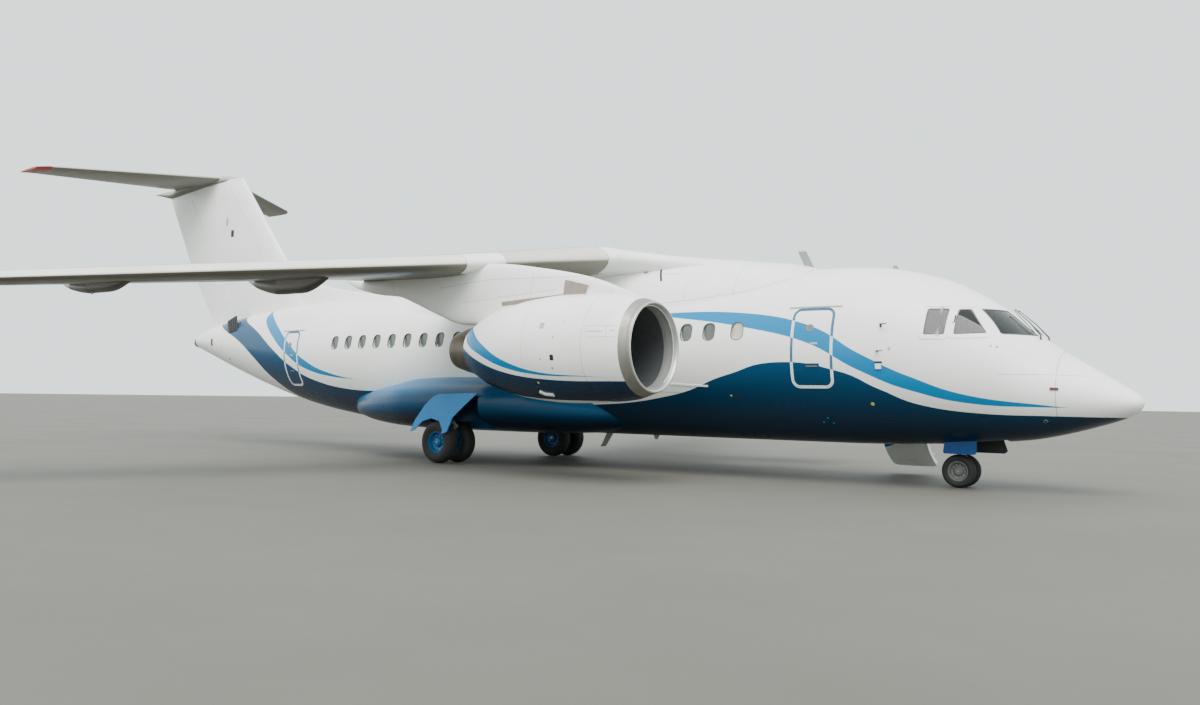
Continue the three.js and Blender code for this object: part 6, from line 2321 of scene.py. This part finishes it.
@dataclass
class Airstair:
    """The entrance door, let down on its sill hinge with its steps up."""

    rear: float = 9.5
    front: float = 10.4
    hinge_y: float = 1.512
    hinge_z: float = 1.640
    low: float = -26.0
    high: float = 41.0
    skin: float = 0.09
    open_by: float = 150.0
    steps: int = 6
    tread: float = 0.25
    # The entrance behind it: its sill, head and corners, and how far in it reaches
    sill: float = 1.646
    head: float = 3.5
    corner: float = 0.138
    back: float = -0.2

    def entrance(self, inset: float = 0.0) -> Mould:
        """The entrance room, smaller by an inset on every side."""
        outline = rounded(self.rear - CLEAR + inset, self.front + CLEAR - inset,
                          self.sill + inset, self.head - inset, self.corner - inset)
        return Mould().plate(outline, self.back + inset, FAR)

    def pin(self, grow: float = 0.0) -> Mould:
        """The bar of the sill hinge, larger by a little where asked."""
        y, z = self.hinge_y, self.hinge_z
        return Mould().bar((self.rear - grow, y, z), (self.front + grow, y, z), 0.024 + grow)

    def spot(self, share: float, depth: float = 0.0) -> Pair:
        """A point of the shut door in the plane across it.

        Args:
            share: how far up the door, from 0 to 1.
            depth: how far under its skin.

        Returns:
            Its y and z.
        """
        top, bottom, radius = HULL.fair(self.rear)
        a = math.radians(self.low + (self.high - self.low) * share)
        return ((radius - depth) * math.cos(a), (top + bottom) / 2 + (radius - depth) * math.sin(a))

    def build(self) -> None:
        """Makes the door with its steps, and the room behind it."""
        outer = [self.spot(i / 24) for i in range(25)]
        inner = [self.spot(1 - i / 24, self.skin) for i in range(25)]
        panel = Mould().plate([*outer, *inner], self.rear, self.front, "x")
        outline = rounded(self.rear, self.front, self.hinge_z + 0.014, outer[-1][1], 0.13)
        shut = panel.worked((Way.KEEP, Mould().plate(outline, 0.5, 2.0))).add(self.pin())
        hinge = Vector((0, self.hinge_y, self.hinge_z))
        swing = (Matrix.Translation(hinge) @ Matrix.Rotation(math.radians(-self.open_by), 4, "X")
                 @ Matrix.Translation(-hinge))
        place(shut.moved(swing), "airstair_door_skin", Finishes.airstair, "airstair",
              ["airstair_door"])
        treads = Mould()
        for i in range(1, self.steps + 1):
            y, z = self.spot(i / (self.steps + 0.6), self.skin)
            treads.box((self.rear + 0.06, y - self.tread, z - 0.016),
                       (self.front - 0.06, y + 0.02, z + 0.016))
        place(treads.moved(swing), "airstair_steps", Finishes.scuffed, "airstair")
        self.entry()

    def entry(self) -> None:
        """Lines the entrance room, and adds its mat and grab bars."""
        near, far = 0.0006, 0.012
        lining = carved(self.entrance(near), [
            (Way.KEEP, HULL.solid(self.rear - 0.2, self.front + 0.2, -0.12)),
            (Way.CUT, self.entrance(far))])
        settle(lining, "entry_lining", Finishes.trim)
        corners = ((9.60, -0.10), (10.30, -0.10), (10.30, 1.33), (9.60, 1.33))
        mat = Mould().plate(softened(corners, 0.05), self.sill + 0.0125, self.sill + 0.022, "z")
        place(mat, "entry_mat", Finishes.moulded)
        bars = Mould()
        for wall, out in ((self.rear + 0.002, 0.06), (self.front - 0.002, -0.06)):
            bars.tube([(wall, 1.02, 2.00), (wall + out, 1.02, 2.05), (wall + out, 1.02, 2.75),
                       (wall, 1.02, 2.80)], 0.014)
        place(bars, "entry_grab_bars", Finishes.chrome)


# Small fittings

Row = tuple[Finish, float, float, tuple[Pair, ...]]


def fit(prefix: str, skin: Skin, rows: Sequence[Row]) -> None:
    """Places what lies on a skin: one piece for each finish, on both sides.

    Args:
        prefix: the start of each piece's name.
        skin: the skin.
        rows: finish, width, how far it stands out, and its points; one point makes a boss.
    """
    groups: dict[str, tuple[Finish, Mould]] = {}
    for finish, width, high, points in rows:
        mould = groups.setdefault(finish.name, (finish, Mould()))[1]
        if len(points) == 1:
            mould.disc(skin, *points[0], width / 2, high)
        else:
            mould.strip(skin, points, width, high, high + 0.002)
    for finish, mould in groups.values():
        place(mould, f"{prefix}_{finish.name}_right", finish, pair=True)


@dataclass
class Details:
    """Probes, aerials, vents, seams and marks."""

    hull: tuple[Row, ...] = (
        (Finishes.hull_seam, 0.008, 0.0010, ((12.55, 1.990), (13.38, 1.985))),
        (Finishes.hull_seam, 0.008, 0.0010, ((13.40, 1.985), (13.80, 1.970))),
        (Finishes.hull_seam, 0.010, 0.0010, ((6.193, 1.630), (7.148, 1.619), (7.119, 1.212))),
        (Finishes.seam, 0.060, 0.0030, ((10.871, 2.417),)),
        (Finishes.seam, 0.052, 0.0030, ((12.533, 2.443),)),
        (Finishes.white, 0.035, 0.0120, ((6.467, 1.788), (7.314, 1.754))),
        (Finishes.white, 0.100, 0.0200, ((10.635, 2.120), (10.735, 2.120))),
        (Finishes.white, 0.028, 0.0300, ((11.838, 2.860), (11.838, 3.000))),
        (Finishes.white, 0.220, 0.0020, ((-10.354, 2.850), (-10.354, 3.120))),
        (Finishes.black, 0.035, 0.0240, ((10.630, 2.185), (10.750, 2.185))),
        (Finishes.black, 0.028, 0.0120, ((11.862, 2.870), (11.862, 2.990))),
        (Finishes.black, 0.045, 0.0010, ((7.860, 1.578), (8.000, 1.578))),
        (Finishes.black, 0.030, 0.0010, ((11.541, 1.136), (11.600, 1.136))),
        (Finishes.black, 0.056, 0.0040, ((13.211, 1.220),)),
        (Finishes.black, 0.130, 0.0040, ((-10.354, 2.880), (-10.354, 3.090))),
        (Finishes.black, 0.070, 0.0020, ((-9.306, 2.465),)),
        (Finishes.scuffed, 0.080, 0.0020, ((13.211, 1.220),)),
        (Finishes.yellow, 0.056, 0.0010, ((12.444, 2.456),)),
        (Finishes.yellow, 0.070, 0.0010, ((10.504, 1.462),)),
        (Finishes.yellow, 0.044, 0.0010, ((7.774, 1.577),)),
        (Finishes.bright, 0.036, 0.0080, ((9.599, 1.194),)),
        (Finishes.bright, 0.036, 0.0080, ((9.487, 1.118),)),
        (Finishes.bright, 0.036, 0.0080, ((9.672, 1.104),)),
        (Finishes.brown, 0.045, 0.0160, ((13.310, 1.757), (13.430, 1.752))),
    )
    # Where the sections meet: station, and angles up from level
    rings: tuple = ((13.39, -85.0, 89.0), (-10.4, -85.0, 80.0))
    cowl: tuple[Row, ...] = (
        (Finishes.cowl_seam, 0.008, 0.0015, ((6.78, 82), (6.78, -84))),
        (Finishes.cowl_seam, 0.006, 0.0015, ((5.48, 70), (5.48, -80))),
        (Finishes.cowl_seam, 0.007, 0.0015, ((7.44, 21.8), (6.83, 20.3), (6.90, 8.5), (7.44, 9.0))),
        (Finishes.cowl_seam, 0.007, 0.0015, ((7.25, 20.7), (7.25, 8.9))),
        (Finishes.seam, 0.016, 0.0020, ((6.89, 14.5), (7.19, 14.6))),
        (Finishes.seam, 0.014, 0.0020, ((7.31, 15.6), (7.41, 15.9))),
        (Finishes.seam, 0.110, 0.0010, ((5.87, 21.5), (5.96, 21.5))),
        (Finishes.black, 0.100, 0.0010, ((6.13, -11.7), (6.21, -11.7))),
        (Finishes.black, 0.030, 0.0020, ((5.919, -13.1),)),
        (Finishes.black, 0.036, 0.0020, ((6.151, -22.8),)),
        (Finishes.yellow, 0.040, 0.0010, ((6.375, 25.6),)),
        (Finishes.yellow, 0.052, 0.0010, ((6.201, 9.4),)),
        (Finishes.yellow, 0.052, 0.0010, ((5.724, -40.1),)),
        (Finishes.white, 0.060, 0.0250, ((5.63, -53.0), (5.72, -57.0), (5.90, -58.0))),
    )
    pylon: tuple[Row, ...] = (
        (Finishes.seam, 0.008, 0.0010, ((6.426, 3.590), (6.278, 3.301))),
        (Finishes.seam, 0.008, 0.0010, ((6.840, 3.440), (6.820, 3.311))),
        (Finishes.seam, 0.007, 0.0010, ((5.10, 3.86), (5.02, 3.30))),
        (Finishes.seam, 0.007, 0.0010, ((6.20, 3.66), (4.00, 3.72), (2.70, 3.62))),
        (Finishes.seam, 0.007, 0.0010, ((5.60, 3.45), (3.30, 3.30))),
    )
    hump: tuple[Row, ...] = (
        (Finishes.seam, 0.009, 0.0010, ((6.581, 3.861), (6.599, 3.46))),
        (Finishes.seam, 0.009, 0.0010, ((8.76, 3.83), (8.40, 3.70), (7.91, 3.58), (6.96, 3.47),
                                        (6.13, 3.41))),
        (Finishes.seam, 0.009, 0.0010, ((7.60, 4.20), (7.66, 3.53))),
        (Finishes.seam, 0.012, 0.0010, ((5.884, 4.063), (6.402, 4.003))),
        # A painted shadow along the edge of an air outlet
        (Finishes.black, 0.045, 0.0040, ((5.820, 4.171), (5.971, 3.884))),
        (Finishes.taupe, 0.100, 0.0020, ((5.470, 4.125), (5.560, 4.110))),
    )
    fin: tuple[Row, ...] = (
        # Painted shade: a flat dark strip for the inside of the slot in the fin
        (Finishes.black, 0.150, 0.0010, ((6.190, 0.378), (6.400, 0.343))),
        (Finishes.seam, 0.110, 0.0010, ((6.560, 0.384), (6.790, 0.345))),
        (Finishes.seam, 0.008, 0.0008, ((5.60, 0.16), (7.70, 0.16))),
    )
    # Finish, x, z and how far it stands out
    probes: tuple = ((Finishes.black, 10.707, 2.815, 0.10), (Finishes.taupe, 10.671, 2.378, 0.09))
    # Aerials in side view, on the centre plane
    aerials: tuple = (
        ((8.62, 4.10), (8.80, 4.10), (8.62, 4.455), (8.45, 4.462)),
        ((10.36, 3.96), (10.52, 3.94), (10.45, 4.06), (10.39, 4.06)),
        ((0.78, 4.58), (1.06, 4.60), (0.92, 5.00), (0.82, 5.00)),
        ((3.89, 0.76), (4.06, 0.76), (3.84, 0.42), (3.70, 0.40)),
        ((5.10, 0.74), (5.26, 0.74), (5.20, 0.62), (5.14, 0.62)),
    )
    # The open intake flap of the auxiliary power unit, its outer face
    flap: tuple = ((-8.83, -0.75, 3.28), (-9.30, -0.71, 3.22), (-9.53, -0.60, 3.58),
                   (-9.07, -0.62, 3.74))

    def build(self) -> None:
        """Makes them all."""
        skin = HULL.skin()
        fit("hull", skin, self.hull)
        seams = [(Finishes.hull_seam, 0.011, 0.0020, ((x, low), (x, high)))
                 for x, low, high in self.rings]
        fit("hull_ring", HULL.around(), seams)
        fit("cowl", Engine().skin(), self.cowl)
        fit("pylon", Pylon().skin(), self.pylon)
        fit("hump", WingFairing().skin(), self.hump)
        fit("fin", Tail().fin.skin(-1), self.fin)
        for finish, x, z, reach in self.probes:
            here, out = skin(x, z), facing(skin, x, z)
            tip = here + out * reach
            probe = Mould().tube([here - out * 0.01, here + out * reach * 0.8,
                                  tip + Vector((0.03, 0, 0)), tip + Vector((0.12, 0, 0))],
                                 [0.024, 0.014, 0.013, 0.008])
            place(probe, f"probe_{finish.name}_right", finish, pair=True)
        blades = Mould()
        for corners in self.aerials:
            blades.plate(softened(corners, 0.02), -0.012, 0.012)
        place(blades, "centre_aerials", Finishes.fibreglass)
        outer = [Vector(p) for p in self.flap]
        out = (outer[1] - outer[0]).cross(outer[2] - outer[1]).normalized() * 0.03
        door = Mould().loft([outer, [p + out for p in outer]])
        for t in (0.2, 0.4, 0.6, 0.8):
            for face in (-0.3, 1.3):
                low, high = outer[0].lerp(outer[1], t), outer[3].lerp(outer[2], t)
                door.tube([low + out * face, high + out * face], 0.010, 6)
        door.strip(skin, [(-9.25, 3.38), (-8.90, 3.44)], 0.30, 0.001)
        place(door, "power_unit_intake_flap", Finishes.black)


# The studio


@dataclass
class Studio:
    """Floor, light and camera."""

    eye: Triple = (17.0674, -18.7076, 1.5099)
    yaw: float = -0.6226
    pitch: float = 0.0436
    roll: float = 0.0152
    focal_px: float = 1022.59
    width_px: int = 1200
    sensor_mm: float = 36.0

    def camera(self) -> None:
        """Sets the camera, low and ahead of the starboard wing."""
        ahead = Vector((math.sin(self.yaw) * math.cos(self.pitch),
                        math.cos(self.yaw) * math.cos(self.pitch), math.sin(self.pitch)))
        right = ahead.cross(Vector((0, 0, 1))).normalized()
        up = right.cross(ahead)
        c, s = math.cos(self.roll), math.sin(self.roll)
        across, upward = right * c + up * s, up * c - right * s
        data = bpy.data.cameras.new("view")
        data.sensor_width = self.sensor_mm
        data.lens = self.focal_px * self.sensor_mm / self.width_px
        data.clip_end = 2000
        camera = bpy.data.objects.new("view", data)
        turned = Matrix((across, upward, -ahead)).transposed().to_4x4()
        camera.matrix_world = Matrix.Translation(Vector(self.eye)) @ turned
        bpy.context.scene.collection.objects.link(camera)
        bpy.context.scene.camera = camera

    def floor(self) -> None:
        """Lays the plain pale floor."""
        far = 300.0
        made = Mould().box((-far, -far, -0.2), (far, far, 0.0)).cast("floor")
        pale = Finish("pale_floor", "white_paint", 0x5C5A53, 0x56544E, 0.75, 0.05, grain_mm=4000)
        made.data.materials.append(pale.material())

    def light(self) -> None:
        """Lights the scene with an even sky and one broad lamp."""
        world = bpy.data.worlds.new("sky")
        world.use_nodes = True
        sky = world.node_tree.nodes["Background"]
        sky.inputs[0].default_value = linear(0xCFD8D8)
        sky.inputs[1].default_value = 2.6
        bpy.context.scene.world = world
        data = bpy.data.lights.new("broad_lamp", "SUN")
        data.energy = 4.8
        data.angle = math.radians(50)
        data.color = (1.0, 0.985, 0.96)
        lamp = bpy.data.objects.new("broad_lamp", data)
        lamp.rotation_euler = (math.radians(28), math.radians(16), 0)
        bpy.context.scene.collection.objects.link(lamp)

    def build(self) -> None:
        """Sets up the whole studio."""
        self.camera()
        self.floor()
        self.light()


def main() -> None:
    """Builds the aircraft, assembly by assembly."""
    logging.basicConfig(level=logging.INFO, format="%(message)s")
    Studio().build()
    for assembly in (Fuselage(), WingFairing(), Wing(), Engine(), Tail(), MainGear(), NoseGear(),
                     Airstair(), Details()):
        log.info("building %s", type(assembly).__name__)
        assembly.build()


if __name__ == "__main__":
    main()
